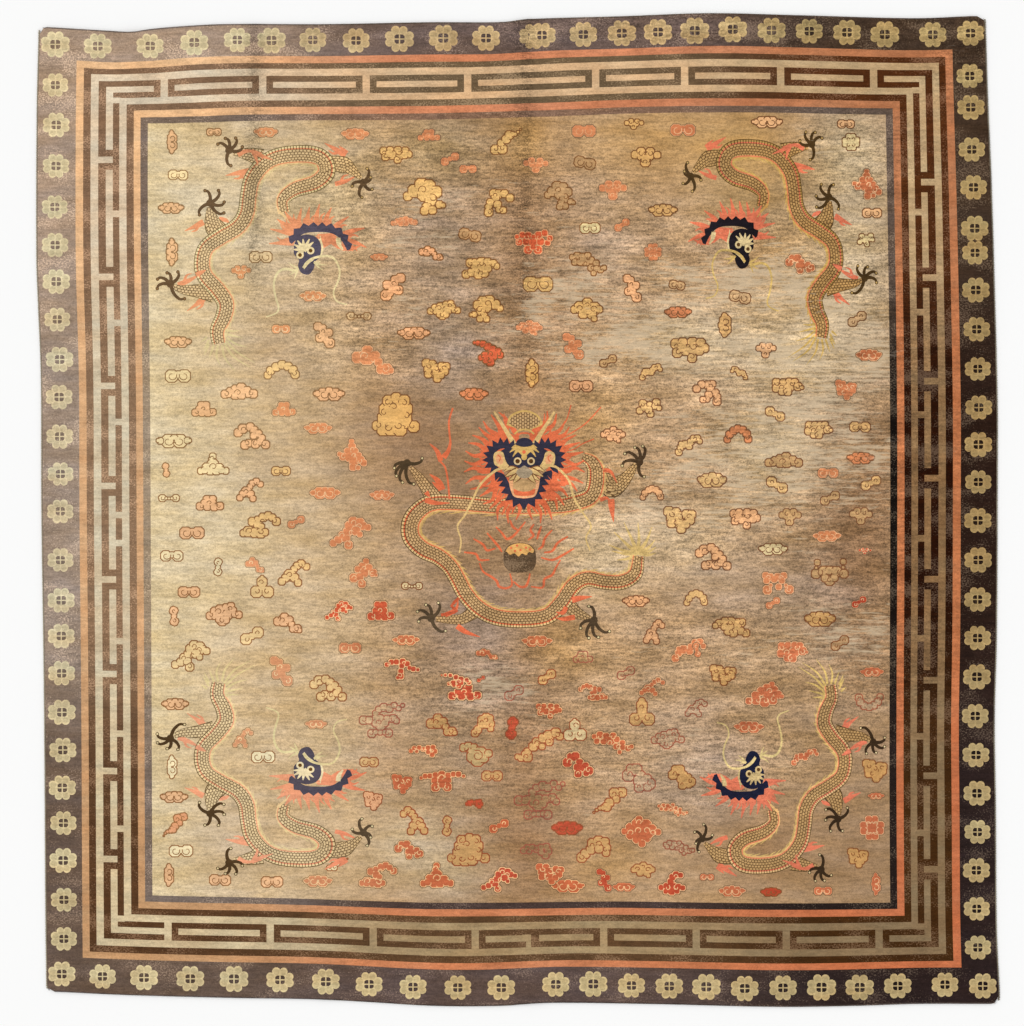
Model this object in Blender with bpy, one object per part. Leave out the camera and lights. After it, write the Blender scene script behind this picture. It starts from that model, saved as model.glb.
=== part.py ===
"""A hand-knotted hall carpet, laid flat: one knotted pile slab and the overcast cord along each side.

Metres, +Z up. X runs from side to side, Y from the lower end to the upper end, and the origin is the
middle of the underside, on the floor.
"""

import math
from collections import namedtuple

import bmesh
import bpy

# Driving sizes
CARPET_WIDTH = 4.58        # over both side cords, at the widest place
CARPET_LENGTH = 4.72       # end to end, at the longest place
PILE_AND_GROUND = 0.009    # thickness where the pile is whole
SIDE_CORD_WIDTH = 0.008
SIDE_CORD_HEIGHT = 0.0095
SEAT_GAP = 0.0003          # between the slab's edge and a side cord
GRID_STEP = 0.13           # between the lines of the slab's mesh away from a fold
LINE_MERGE = 0.012         # two mesh lines nearer than this become one
FOLD_LINES = (-1.0, -0.5, 0.0, 0.5, 1.0)   # mesh lines across a fold, in half widths
RIPPLE_STEP = 0.035        # between the mesh lines under a slanting fold
CORNER_CUT = 0.006         # how far each rounded corner draws in, along X and along Y

# Each edge's distance inside the full rectangle. A side's place is its Y and an end's place is its X.
EdgeRow = namedtuple("EdgeRow", "place inset")
LEFT_SIDE = (
    EdgeRow(-2.30, 0.047), EdgeRow(-1.99, 0.043), EdgeRow(-1.16, 0.038), EdgeRow(-0.66, 0.033),
    EdgeRow(0.00, 0.024), EdgeRow(0.67, 0.021), EdgeRow(1.00, 0.008), EdgeRow(1.24, 0.000),
    EdgeRow(1.95, 0.002), EdgeRow(2.30, 0.010),
)
RIGHT_SIDE = (
    EdgeRow(-2.30, 0.000), EdgeRow(-2.00, 0.014), EdgeRow(-1.40, 0.019), EdgeRow(-1.00, 0.024),
    EdgeRow(-0.60, 0.014), EdgeRow(0.17, 0.010), EdgeRow(0.50, 0.010), EdgeRow(1.00, 0.022),
    EdgeRow(1.60, 0.040), EdgeRow(1.95, 0.055), EdgeRow(2.30, 0.066),
)
UPPER_END = (
    EdgeRow(-2.25, 0.066), EdgeRow(-1.93, 0.085), EdgeRow(-1.84, 0.090), EdgeRow(-1.76, 0.076),
    EdgeRow(-1.60, 0.062), EdgeRow(-1.40, 0.052), EdgeRow(-0.90, 0.052), EdgeRow(-0.40, 0.043),
    EdgeRow(-0.05, 0.042), EdgeRow(0.08, 0.028), EdgeRow(0.55, 0.014), EdgeRow(0.95, 0.000),
    EdgeRow(1.40, 0.010), EdgeRow(1.95, 0.024), EdgeRow(2.22, 0.014),
)
LOWER_END = (
    EdgeRow(-2.23, 0.071), EdgeRow(-1.93, 0.057), EdgeRow(-1.43, 0.043), EdgeRow(-1.00, 0.036),
    EdgeRow(-0.76, 0.024), EdgeRow(-0.43, 0.005), EdgeRow(-0.10, 0.005), EdgeRow(0.10, 0.019),
    EdgeRow(0.60, 0.014), EdgeRow(1.23, 0.000), EdgeRow(1.60, 0.005), EdgeRow(1.90, 0.014),
    EdgeRow(2.25, 0.014),
)

# Soft ridges where the laid carpet stands off the floor. A ridge runs from x0, y0 to x1, y1, bows
# sideways by bow at its middle, and fades out over fade at each end.
Fold = namedtuple("Fold", "name x0 y0 x1 y1 bow half_width rise fade")
FOLDS = (
    Fold("old middle fold", 0.035, 3.20, 0.030, 0.55, 0.000, 0.050, 0.0060, 0.55),
    Fold("old quarter fold", -1.250, 3.00, -1.255, 0.80, 0.000, 0.055, 0.0035, 0.60),
    Fold("upper end ripple", -1.840, 2.70, -1.790, 1.85, 0.015, 0.090, 0.0100, 0.40),
    Fold("lower end ripple", 0.100, -2.70, 0.085, -2.05, -0.010, 0.090, 0.0060, 0.35),
    Fold("lower left end ripple", -0.900, -2.75, -0.930, -2.10, 0.010, 0.110, 0.0045, 0.35),
    Fold("lower right ripple", 0.300, -1.250, 1.200, -1.365, 0.030, 0.065, 0.0090, 0.30),
    Fold("short middle ripple", -0.020, -0.990, 0.260, -0.955, -0.010, 0.055, 0.0050, 0.12),
)

# Broad hollows where feet have worn the pile down.
Worn = namedtuple("Worn", "x y reach_x reach_y depth")
WORN_AREAS = (
    Worn(1.00, 0.70, 0.75, 0.60, 0.0018),
    Worn(-0.10, 0.10, 0.85, 1.10, 0.0010),
    Worn(-1.30, -0.40, 0.60, 1.20, 0.0008),
    Worn(0.90, -1.10, 0.80, 0.60, 0.0010),
)


def edge_slope(rows, index):
    """Slope of an edge's curve at one of its rows, from the rows on either side."""
    before, after = rows[max(index - 1, 0)], rows[min(index + 1, len(rows) - 1)]
    return (after.inset - before.inset) / (after.place - before.place)


def edge_inset(rows, place):
    """Inset at a place along an edge, on one smooth curve through the edge's rows."""
    place = min(max(place, rows[0].place), rows[-1].place)
    index = max(i for i, row in enumerate(rows[:-1]) if row.place <= place)
    near, far = rows[index], rows[index + 1]
    span = far.place - near.place
    t = (place - near.place) / span
    return (
        (2 * t**3 - 3 * t**2 + 1) * near.inset
        + (t**3 - 2 * t**2 + t) * span * edge_slope(rows, index)
        + (3 * t**2 - 2 * t**3) * far.inset
        + (t**3 - t**2) * span * edge_slope(rows, index + 1)
    )


def corner_draw(x, y):
    """How far a point is drawn in by the rounding of the nearest corner: none but close to a corner."""
    near_side = max(0.0, 1 - (CARPET_WIDTH / 2 - abs(x)) / (4 * CORNER_CUT))
    near_end = max(0.0, 1 - (CARPET_LENGTH / 2 - abs(y)) / (4 * CORNER_CUT))
    return CORNER_CUT * near_side * near_end


def laid_place(x, y, margin=0.0):
    """Where a point of the straight rectangle lies once its four edges follow the carpet's own."""
    left = -CARPET_WIDTH / 2 + edge_inset(LEFT_SIDE, y) + margin
    right = CARPET_WIDTH / 2 - edge_inset(RIGHT_SIDE, y) - margin
    low = -CARPET_LENGTH / 2 + edge_inset(LOWER_END, x)
    high = CARPET_LENGTH / 2 - edge_inset(UPPER_END, x)
    draw = corner_draw(x, y)
    across = left + (x / CARPET_WIDTH + 0.5) * (right - left) - math.copysign(draw, x)
    along = low + (y / CARPET_LENGTH + 0.5) * (high - low) - math.copysign(draw, y)
    return across, along


def fold_rise(fold, x, y):
    """Height of one ridge above the floor at a point."""
    run_x, run_y = fold.x1 - fold.x0, fold.y1 - fold.y0
    length = math.hypot(run_x, run_y)
    t = ((x - fold.x0) * run_x + (y - fold.y0) * run_y) / length**2
    if not 0 < t < 1:
        return 0.0
    aside = ((x - fold.x0) * run_y - (y - fold.y0) * run_x) / length
    off = abs(aside - fold.bow * 4 * t * (1 - t)) / fold.half_width
    if off >= 1:
        return 0.0
    fade = min(1.0, min(t, 1 - t) * length / fold.fade)
    return fold.rise * math.cos(off * math.pi / 2) ** 2 * math.sin(fade * math.pi / 2) ** 2


def floor_lift(x, y):
    """Height of the underside above the floor: zero but for the ridges."""
    return sum(fold_rise(fold, x, y) for fold in FOLDS)


def worn_depth(x, y):
    """How much lower the worn pile is at a point."""
    depth = 0.0
    for worn in WORN_AREAS:
        away = math.hypot((x - worn.x) / worn.reach_x, (y - worn.y) / worn.reach_y)
        if away < 1:
            depth += worn.depth * math.cos(away * math.pi / 2) ** 2
    return depth


def even_lines(low, high, step):
    """Evenly spaced lines from low to high, about one step apart."""
    count = max(1, round((high - low) / step))
    return [low + (high - low) * i / count for i in range(count + 1)]


def fold_lines(upright):
    """Mesh lines that the folds need: X values for the upright folds, Y values for the level ones."""
    lines = []
    for fold in FOLDS:
        is_upright = abs(fold.y1 - fold.y0) > abs(fold.x1 - fold.x0)
        if is_upright != upright:
            continue
        start, end = (fold.x0, fold.x1) if upright else (fold.y0, fold.y1)
        if abs(end - start) < fold.half_width:
            middle = (start + end) / 2
            lines += [middle + share * fold.half_width for share in FOLD_LINES]
        else:
            low = min(start, end) - fold.half_width
            high = max(start, end) + fold.half_width
            lines += even_lines(low, high, RIPPLE_STEP)
    return lines


def mesh_lines(size, upright):
    """All mesh lines across one direction: the even ones, the folds' own, and one close to each rim."""
    corner = size / 2 - 3 * CORNER_CUT
    wanted = [-size / 2, size / 2, -corner, corner] + fold_lines(upright)
    kept = []
    for line in wanted + even_lines(-size / 2, size / 2, GRID_STEP):
        if all(abs(line - other) > LINE_MERGE for other in kept):
            kept.append(line)
    near = [line for line in kept if abs(line) <= size / 2]
    return sorted(near)


def new_material(name, colour, roughness):
    material = bpy.data.materials.new(name)
    material.use_nodes = True
    shader = material.node_tree.nodes["Principled BSDF"]
    shader.inputs["Base Color"].default_value = (*colour, 1.0)
    shader.inputs["Roughness"].default_value = roughness
    shader.inputs["Metallic"].default_value = 0.0
    return material


def add_object(name, mesh_builder, material):
    """A new object whose mesh comes from a bmesh, with its faces pointing out."""
    bmesh.ops.recalc_face_normals(mesh_builder, faces=mesh_builder.faces[:])
    mesh = bpy.data.meshes.new(name)
    mesh_builder.to_mesh(mesh)
    mesh_builder.free()
    mesh.materials.append(material)
    mesh.shade_smooth()
    mesh.set_sharp_from_angle(angle=math.radians(40))
    made = bpy.data.objects.new(name, mesh)
    bpy.context.scene.collection.objects.link(made)
    return made


def build_carpet():
    """The knotted slab: a grid of upper and lower points on the laid outline, closed by its rim."""
    columns = mesh_lines(CARPET_WIDTH, upright=True)
    rows = mesh_lines(CARPET_LENGTH, upright=False)
    margin = SIDE_CORD_WIDTH + SEAT_GAP
    bm = bmesh.new()
    upper, lower = {}, {}
    for i, x in enumerate(columns):
        for j, y in enumerate(rows):
            px, py = laid_place(x, y, margin)
            lift = floor_lift(px, py)
            upper[i, j] = bm.verts.new((px, py, lift + PILE_AND_GROUND - worn_depth(px, py)))
            lower[i, j] = bm.verts.new((px, py, lift))
    for i in range(len(columns) - 1):
        for j in range(len(rows) - 1):
            corners = [(i, j), (i + 1, j), (i + 1, j + 1), (i, j + 1)]
            bm.faces.new([upper[corner] for corner in corners])
            bm.faces.new([lower[corner] for corner in reversed(corners)])
    last_i, last_j = len(columns) - 1, len(rows) - 1
    rim = [(i, 0) for i in range(last_i)] + [(last_i, j) for j in range(last_j)]
    rim += [(i, last_j) for i in range(last_i, 0, -1)] + [(0, j) for j in range(last_j, 0, -1)]
    for here, there in zip(rim, rim[1:] + rim[:1]):
        bm.faces.new([lower[here], lower[there], upper[there], upper[here]])
    material = new_material("worn wool pile", (0.42, 0.32, 0.22), 0.95)
    return add_object("carpet", bm, material)


def build_side_cord(name, side):
    """The overcast cord along one side: flat where it meets the slab, and rounded outside."""
    # The section's points: across from the slab's side, and height, as shares of the cord's sizes.
    section = ((0.0, 0.0), (0.55, 0.0), (0.9, 0.18), (1.0, 0.5), (0.9, 0.82), (0.55, 1.0), (0.0, 1.0))
    bm = bmesh.new()
    rings = []
    for y in mesh_lines(CARPET_LENGTH, upright=False):
        edge_x, edge_y = laid_place(side * CARPET_WIDTH / 2, y)
        lift = floor_lift(edge_x, edge_y)
        ring = []
        for across, height in section:
            x = edge_x - side * SIDE_CORD_WIDTH * (1 - across)
            ring.append(bm.verts.new((x, edge_y, lift + height * SIDE_CORD_HEIGHT)))
        rings.append(ring)
    for ring, following in zip(rings, rings[1:]):
        for k in range(len(section)):
            after = (k + 1) % len(section)
            bm.faces.new([ring[k], ring[after], following[after], following[k]])
    bm.faces.new(rings[0])
    bm.faces.new(rings[-1])
    material = new_material(name.replace("_", " "), (0.30, 0.26, 0.21), 0.9)
    return add_object(name, bm, material)


for old in list(bpy.data.objects):
    bpy.data.objects.remove(old, do_unlink=True)

build_carpet()
build_side_cord("side_cord_left", -1)
build_side_cord("side_cord_right", 1)
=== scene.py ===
import math
import random

import bmesh
import bpy
import numpy as np
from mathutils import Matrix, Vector
from mathutils.geometry import delaunay_2d_cdt


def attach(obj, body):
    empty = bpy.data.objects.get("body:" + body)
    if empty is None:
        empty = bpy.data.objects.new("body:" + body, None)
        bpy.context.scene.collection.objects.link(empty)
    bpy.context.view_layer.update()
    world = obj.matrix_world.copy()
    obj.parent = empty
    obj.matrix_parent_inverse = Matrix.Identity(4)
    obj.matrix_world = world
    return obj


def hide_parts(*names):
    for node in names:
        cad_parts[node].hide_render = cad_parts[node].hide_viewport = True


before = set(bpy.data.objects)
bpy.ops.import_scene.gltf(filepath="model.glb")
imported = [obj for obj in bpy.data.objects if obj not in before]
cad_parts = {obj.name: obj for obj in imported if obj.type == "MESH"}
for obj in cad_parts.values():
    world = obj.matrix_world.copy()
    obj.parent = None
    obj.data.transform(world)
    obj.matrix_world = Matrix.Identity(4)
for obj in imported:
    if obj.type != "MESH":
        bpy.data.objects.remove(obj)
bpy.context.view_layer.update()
random.seed(5)
print("frame loaded")

# Real sizes in metres, the same ones that the solids have.
carpet = {
    "width": 4.58,
    "length": 4.72,
    "thickness": 0.009,
    "sideMargin": 0.0083,      # side cord and its seat
    "cornerCut": 0.006,
    "fieldGrid": 0.062,        # between the inner points of the pile
    "backGrid": 0.13,
    "rimStep": 0.036,
    "shoulder": 0.004,         # how far in the rounded edge starts
    "shoulderDrop": 0.0024,
    "stretch": 0.09,           # longest straight stretch of a drawn line
    "straightness": 0.0001,
    "gridShare": 0.994,        # how far out the inner points reach
    "sideClear": 0.03,         # no line of the ground's own outline this near the sides
}
# The closer points on a ridge: spacing along it, places across it, and the clear strips at the edges.
ridgePoints = {"along": 0.03, "across": (-1, -0.6, -0.25, 0.1, 0.45, 0.85), "clearX": 0.08, "clearY": 0.1}

sideX, endY = carpet["width"] / 2, carpet["length"] / 2


def rowsOf(text):
    return [[float(number) for number in row.split()] for row in text.split(",")]


# Each edge's distance inside the full rectangle, as place and inset.
edgeRows = {
    "left": "-2.3 0.047, -1.99 0.043, -1.16 0.038, -0.66 0.033, 0 0.024, 0.67 0.021, 1 0.008, 1.24 0, "
    "1.95 0.002, 2.3 0.01",
    "right": "-2.3 0, -2 0.014, -1.4 0.019, -1 0.024, -0.6 0.014, 0.17 0.01, 0.5 0.01, 1 0.022, 1.6 0.04, "
    "1.95 0.055, 2.3 0.066",
    "upper": "-2.25 0.066, -1.93 0.085, -1.84 0.09, -1.76 0.076, -1.6 0.062, -1.4 0.052, -0.9 0.052, "
    "-0.4 0.043, -0.05 0.042, 0.08 0.028, 0.55 0.014, 0.95 0, 1.4 0.01, 1.95 0.024, 2.22 0.014",
    "lower": "-2.23 0.071, -1.93 0.057, -1.43 0.043, -1 0.036, -0.76 0.024, -0.43 0.005, -0.1 0.005, "
    "0.1 0.019, 0.6 0.014, 1.23 0, 1.6 0.005, 1.9 0.014, 2.25 0.014",
}

# Soft ridges off the floor: start, end, sideways bow, half width, rise, fade.
folds = {
    "old middle fold": (0.035, 3.20, 0.030, 0.55, 0.000, 0.050, 0.0060, 0.55),
    "old quarter fold": (-1.250, 3.00, -1.255, 0.80, 0.000, 0.055, 0.0035, 0.60),
    "upper end ripple": (-1.840, 2.70, -1.790, 1.85, 0.015, 0.090, 0.0100, 0.40),
    "lower end ripple": (0.100, -2.70, 0.085, -2.05, -0.010, 0.090, 0.0060, 0.35),
    "lower left end ripple": (-0.900, -2.75, -0.930, -2.10, 0.010, 0.110, 0.0045, 0.35),
    "lower right ripple": (0.300, -1.250, 1.200, -1.365, 0.030, 0.065, 0.0090, 0.30),
    "short middle ripple": (-0.020, -0.990, 0.260, -0.955, -0.010, 0.055, 0.0050, 0.12),
}

# Painted shade along the old folds: a thin dark line, which fades out towards their ends.
foldShade = {"folds": ("old middle fold", "old quarter fold"), "halfWidth": 0.045, "fade": 0.4}

# Hollows worn by feet: x, y, reach across, reach along, depth.
wornPlaces = (
    (1.00, 0.70, 0.75, 0.60, 0.0018),
    (-0.10, 0.10, 0.85, 1.10, 0.0010),
    (-1.30, -0.40, 0.60, 1.20, 0.0008),
    (0.90, -1.10, 0.80, 0.60, 0.0010),
)


def edgeInset(side, place):
    rows = np.array(rowsOf(edgeRows[side]))
    place = np.clip(place, rows[0, 0], rows[-1, 0])
    index = np.clip(np.searchsorted(rows[:, 0], place, side="right") - 1, 0, len(rows) - 2)
    before = np.maximum(np.arange(len(rows)) - 1, 0)
    after = np.minimum(np.arange(len(rows)) + 1, len(rows) - 1)
    slope = (rows[after, 1] - rows[before, 1]) / (rows[after, 0] - rows[before, 0])
    span = rows[index + 1, 0] - rows[index, 0]
    t = (place - rows[index, 0]) / span
    return (
        (2 * t**3 - 3 * t**2 + 1) * rows[index, 1]
        + (t**3 - 2 * t**2 + t) * span * slope[index]
        + (3 * t**2 - 2 * t**3) * rows[index + 1, 1]
        + (t**3 - t**2) * span * slope[index + 1]
    )


def laidPlace(x, y, margin=0.0):
    # Where a point of the straight rectangle lies on the carpet as laid.
    x, y = np.asarray(x, float), np.asarray(y, float)
    width, length, cut = carpet["width"], carpet["length"], carpet["cornerCut"]
    left = -sideX + edgeInset("left", y) + margin
    right = sideX - edgeInset("right", y) - margin
    low = -endY + edgeInset("lower", x)
    high = endY - edgeInset("upper", x)
    nearSide = np.maximum(0, 1 - (sideX - np.abs(x)) / (4 * cut))
    nearEnd = np.maximum(0, 1 - (endY - np.abs(y)) / (4 * cut))
    draw = cut * nearSide * nearEnd
    across = left + (x / width + 0.5) * (right - left) - np.sign(x) * draw
    along = low + (y / length + 0.5) * (high - low) - np.sign(y) * draw
    return across, along


def floorLift(x, y):
    lift = np.zeros(len(x))
    for x0, y0, x1, y1, bow, halfWidth, rise, fade in folds.values():
        runX, runY = x1 - x0, y1 - y0
        length = math.hypot(runX, runY)
        t = ((x - x0) * runX + (y - y0) * runY) / length**2
        aside = ((x - x0) * runY - (y - y0) * runX) / length
        off = np.abs(aside - bow * 4 * t * (1 - t)) / halfWidth
        ends = np.clip(np.minimum(t, 1 - t) * length / fade, 0, 1)
        shape = np.cos(np.minimum(off, 1) * math.pi / 2) ** 2 * np.sin(ends * math.pi / 2) ** 2
        lift += rise * shape
    return lift


def foldShadeAt(x, y):
    # Painted shade, darkest on each old fold's line.
    dark = np.zeros(len(x))
    for name in foldShade["folds"]:
        x0, y0, x1, y1, bow = folds[name][:5]
        t = np.clip((y - y0) / (y1 - y0), 0, 1)
        off = np.abs(x - x0 - (x1 - x0) * t - bow * 4 * t * (1 - t)) / foldShade["halfWidth"]
        ends = np.clip(np.minimum(y0 - y, y - y1) / foldShade["fade"], 0, 1)
        dark = np.maximum(dark, np.exp(-off**2) * ends)
    return dark


def wornDepth(x, y):
    depth = np.zeros(len(x))
    for midX, midY, reachX, reachY, deep in wornPlaces:
        away = np.minimum(np.hypot((x - midX) / reachX, (y - midY) / reachY), 1)
        depth += deep * np.cos(away * math.pi / 2) ** 2
    return depth


# The weaver's chart: squares counted from the top left, each a knot group of the same size.
chart = {"square": 0.00475, "middleColumn": 518, "middleRow": 510, "columns": 964, "rows": 994}


def onCarpet(points):
    # Chart squares to metres, for what is drawn in the field.
    points = np.asarray(points, float)
    x = (points[:, 0] - chart["middleColumn"]) * chart["square"]
    y = (chart["middleRow"] - points[:, 1]) * chart["square"]
    return np.column_stack((x, y))


# Lines further in follow their edge less closely: reach of the averaging, and pull to the side's mean.
calming = {
    "reach": 0.8, "most": 0.40, "pullDepth": 0.35,
    "pull": {"left": 0.45, "right": 0.45, "upper": 0.0, "lower": 0.0},
    "mean": {"left": 0.022, "right": 0.022, "upper": 0.040, "lower": 0.020},
}


def calmInset(side, place, depth):
    reach = np.minimum(calming["reach"] * depth, calming["most"])
    inset = sum(edgeInset(side, place + reach * step) for step in (-1, -0.5, 0, 0.5, 1)) / 5
    pull = calming["pull"][side] * np.clip(depth / calming["pullDepth"], 0, 1)
    return inset * (1 - pull) + calming["mean"][side] * pull


def framePlace(x, y):
    width, length = carpet["width"], carpet["length"]
    left = -sideX + calmInset("left", y, np.maximum(x + sideX, 0))
    right = sideX - calmInset("right", y, np.maximum(sideX - x, 0))
    low = -endY + calmInset("lower", x, np.maximum(y + endY, 0))
    high = endY - calmInset("upper", x, np.maximum(endY - y, 0))
    return left + (x / width + 0.5) * (right - left), low + (y / length + 0.5) * (high - low)


def onFrame(points):
    # Squares of the straight rectangle to metres on the laid carpet, for the borders.
    points = np.asarray(points, float)
    x = (points[:, 0] - chart["columns"] / 2) * carpet["width"] / chart["columns"]
    y = (chart["rows"] / 2 - points[:, 1]) * carpet["length"] / chart["rows"]
    return np.column_stack(framePlace(x, y))


def straightRow(row, column):
    # The straight rectangle's row that comes to lie on this row of the field's chart.
    x, y = onCarpet([(column, row)])[0]
    low = -endY + calmInset("lower", x, min(y + endY, calming["most"]))
    high = endY - calmInset("upper", x, min(endY - y, calming["most"]))
    return float(0.5 - ((y - low) / (high - low) - 0.5)) * chart["rows"]


def straightColumn(column, row):
    x, y = onCarpet([(column, row)])[0]
    left = -sideX + calmInset("left", y, min(x + sideX, calming["most"]))
    right = sideX - calmInset("right", y, min(sideX - x, calming["most"]))
    return float((x - left) / (right - left)) * chart["columns"]


def stepped(points, longest):
    # The same closed outline with no stretch longer than that.
    points = np.asarray(points, float)
    out = []
    for a, b in zip(points, np.roll(points, -1, axis=0)):
        count = max(1, math.ceil(float(np.hypot(*(b - a))) / longest))
        out += [a + (b - a) * i / count for i in range(count)]
    return np.array(out)


def smoothLine(points, pieces=5):
    # A smooth line through the points.
    points = np.asarray(points, float)
    ends = np.vstack((2 * points[0] - points[1], points, 2 * points[-1] - points[-2]))
    out = []
    for i in range(1, len(ends) - 2):
        a, b, c, d = ends[i - 1], ends[i], ends[i + 1], ends[i + 2]
        for step in range(int(pieces)):
            t = step / pieces
            out.append(
                0.5 * (2 * b + (c - a) * t + (2 * a - 5 * b + 4 * c - d) * t**2
                       + (3 * b - a - 3 * c + d) * t**3)
            )
    out.append(ends[-2])
    return np.array(out)


def sideways(line):
    run = np.gradient(line, axis=0)
    run /= np.maximum(np.hypot(run[:, 0], run[:, 1]), 1e-9)[:, None]
    return np.column_stack((-run[:, 1], run[:, 0]))


def ribbon(line, widths):
    # A stroke's outline: widths is one number, or one for each point.
    line = np.asarray(line, float)
    half = np.broadcast_to(np.asarray(widths, float) / 2, len(line))[:, None]
    aside = sideways(line)
    return np.vstack((line + aside * half, (line - aside * half)[::-1]))


def tongue(points, base, tip=0.3, pieces=4, swell=0.35):
    # A tapering stroke that swells a little after its start.
    line = smoothLine(points, pieces)
    t = np.linspace(0, 1, len(line))
    widths = base * (1 - t) ** 0.8 * (1 + swell * np.sin(t * math.pi)) + tip
    return ribbon(line, widths)


def roundSpot(x, y, radius, sides=0, squash=1.0):
    sides = sides or max(8, min(18, round(5 + radius * 1.3)))
    turn = np.arange(sides) * 2 * math.pi / sides + 0.2
    return np.column_stack((x + radius * np.cos(turn), y + radius * squash * np.sin(turn)))


def squareSpot(x, y, radius, corner=0.52):
    # A knotted lobe: a square whose corners are cut.
    sides = ((1, corner), (corner, 1), (-corner, 1), (-1, corner), (-1, -corner), (-corner, -1),
             (corner, -1), (1, -corner))
    return np.array([(x + radius * a, y + radius * b) for a, b in sides])


inlays = []


def knot(points, yarn, shade=1.0, family=0, place=onCarpet, run=None):
    # One area of one yarn, laid over what is already there.
    inlays.append({
        "outline": place(points), "yarn": yarn, "shade": shade, "family": family, "run": run,
    })


# Border lines, counted in squares from the outside in. The fret's own lines stand in the middle.
bands = {
    "names": ("outerStripe", "brownLine", "beigeLine", "fretOuter", "slit", "fretInner", "beigeInner",
              "brownInner", "innerStripe", "indigoStripe", "field"),
    "left": (38.9, 46.3, 53.5, 61.1, 68.5, 75.5, 81.9, 89.2, 96.5, 103.3, 110.7),
    "right": (36.9, 44.7, 51.8, 59.0, 66.5, 73.0, 79.5, 86.1, 93.1, 100.3, 107.4),
    "upper": (32.6, 39.8, 45.6, 52.8, 58.9, 65.0, 71.0, 77.8, 84.4, 91.8, 98.3),
    "lower": (36.6, 43.2, 50.2, 57.3, 63.4, 69.8, 75.8, 83.0, 89.5, 96.5, 103.0),
    "longest": 13, "endTurn": 1.3, "past": 4,
}
bandYarns = {"outerStripe": "stripe", "brownLine": "brown", "beigeLine": "beige", "fretOuter": "brown",
             "beigeInner": "beige", "brownInner": "brown", "innerStripe": "stripe",
             "indigoStripe": "indigo", "field": "field"}


def lineAt(side, name):
    away = bands[side][bands["names"].index(name)]
    if side == "right":
        return chart["columns"] - away
    return chart["rows"] - away if side == "lower" else away


def box(left, top, right, bottom):
    return [(left, top), (right, top), (right, bottom), (left, bottom)]


def borderKnot(points, yarn, shade=1.0):
    knot(stepped(points, bands["longest"]), yarn, shade, place=onFrame)


def layBands():
    # What no area covers keeps the end line's yarn: a thin turning along both ends.
    past, turn = bands["past"], bands["endTurn"]
    borderKnot(box(-past, turn, chart["columns"] + past, chart["rows"] - turn), "ground")
    for name, yarn in bandYarns.items():
        borderKnot(box(*(lineAt(side, name) for side in ("left", "upper", "right", "lower"))), yarn)


# The key fret's breaks, by the photo's rows and columns.
# A stem joins the outer beige line to the slit's place, a link joins the slit to the inner line.
fret = {
    "bar": 6.6, "wall": 6.8, "cap": 7.0, "leftColumn": 110, "rightColumn": 925,
    "left": {"stems": (157, 274, 383, 483, 576.5, 671, 768, 856),
             "links": (211, 320, 419, 512, 540, 638, 730.5, 825.5)},
    "right": {"stems": (179, 274.5, 378, 475, 576, 677, 772.5, 866),
              "links": (209, 309, 411.5, 535, 635, 733, 829.5)},
    "upper": {"gaps": (160.5, 259, 362.5, 464, 592, 681, 777, 870), "middleRow": 84},
    "lower": {"gaps": (164.3, 266.5, 369.5, 471.5, 600, 692.5, 782.5, 875.3), "middleRow": 934},
    "lowerBreak": (526, 531),
}


def fretLines(side):
    return [lineAt(side, name) for name in ("fretOuter", "slit", "fretInner", "beigeInner")]


def layUprightFret(side):
    outer, slit, inner, edge = fretLines(side)
    beyond = -1 if side == "left" else 1

    def put(a, b, top, bottom, yarn="beige"):
        borderKnot(box(min(a, b), top, max(a, b), bottom), yarn)

    column = fret[side + "Column"]
    stems = [straightRow(row, column) for row in fret[side]["stems"]]
    top = lineAt("upper", "slit")
    for stem in stems:
        put(slit, inner, top, stem - fret["cap"])
        put(outer + beyond, inner, stem, stem + fret["bar"])
        top = stem + fret["bar"] + fret["cap"]
    put(slit, inner, top, lineAt("lower", "slit"))
    for row in fret[side]["links"]:
        link = straightRow(row, column)
        put(slit, edge - beyond, link, link + fret["bar"])


def layLevelFret(side):
    outer, slit, inner, edge = fretLines(side)
    beyond = -1 if side == "upper" else 1

    def put(left, right, a, b, yarn="beige"):
        borderKnot(box(left, min(a, b), right, max(a, b)), yarn)

    gaps = [straightColumn(column, fret[side]["middleRow"]) for column in fret[side]["gaps"]]
    left = lineAt("left", "slit")
    for count, gap in enumerate(gaps):
        openEnd = side == "lower" and count == 0
        put(left, gap + (1 if openEnd else -fret["wall"]), slit, inner)
        put(gap, gap + fret["bar"] + 0.8, outer + beyond, edge - beyond)
        left = gap + fret["bar"] + 0.8 + fret["wall"]
    put(left, lineAt("right", "slit"), slit, inner)
    # At the corners the inner lines of both directions meet the slit.
    for column, reach in ((lineAt("left", "slit"), lineAt("left", "beigeInner") + 1),
                          (lineAt("right", "slit"), lineAt("right", "beigeInner") - 1)):
        sideInner = lineAt("left" if column < 400 else "right", "fretInner")
        put(min(column, sideInner), max(column, sideInner), inner, edge - beyond * 5.5)
        put(min(column, reach), max(column, reach), edge + beyond * 0.6, edge - beyond * 5.5)


def layLowerBreak():
    outer, slit, inner, edge = fretLines("lower")
    start, end = (straightColumn(column, fret["lower"]["middleRow"]) for column in fret["lowerBreak"])
    borderKnot(box(start - 4, inner - 0.5, end, slit), "beige")
    borderKnot(box(start, inner + 2, end, outer + 1), "beige")
    borderKnot(box(end, inner - 0.3, end + 8, slit + 0.3), "brown")


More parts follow.
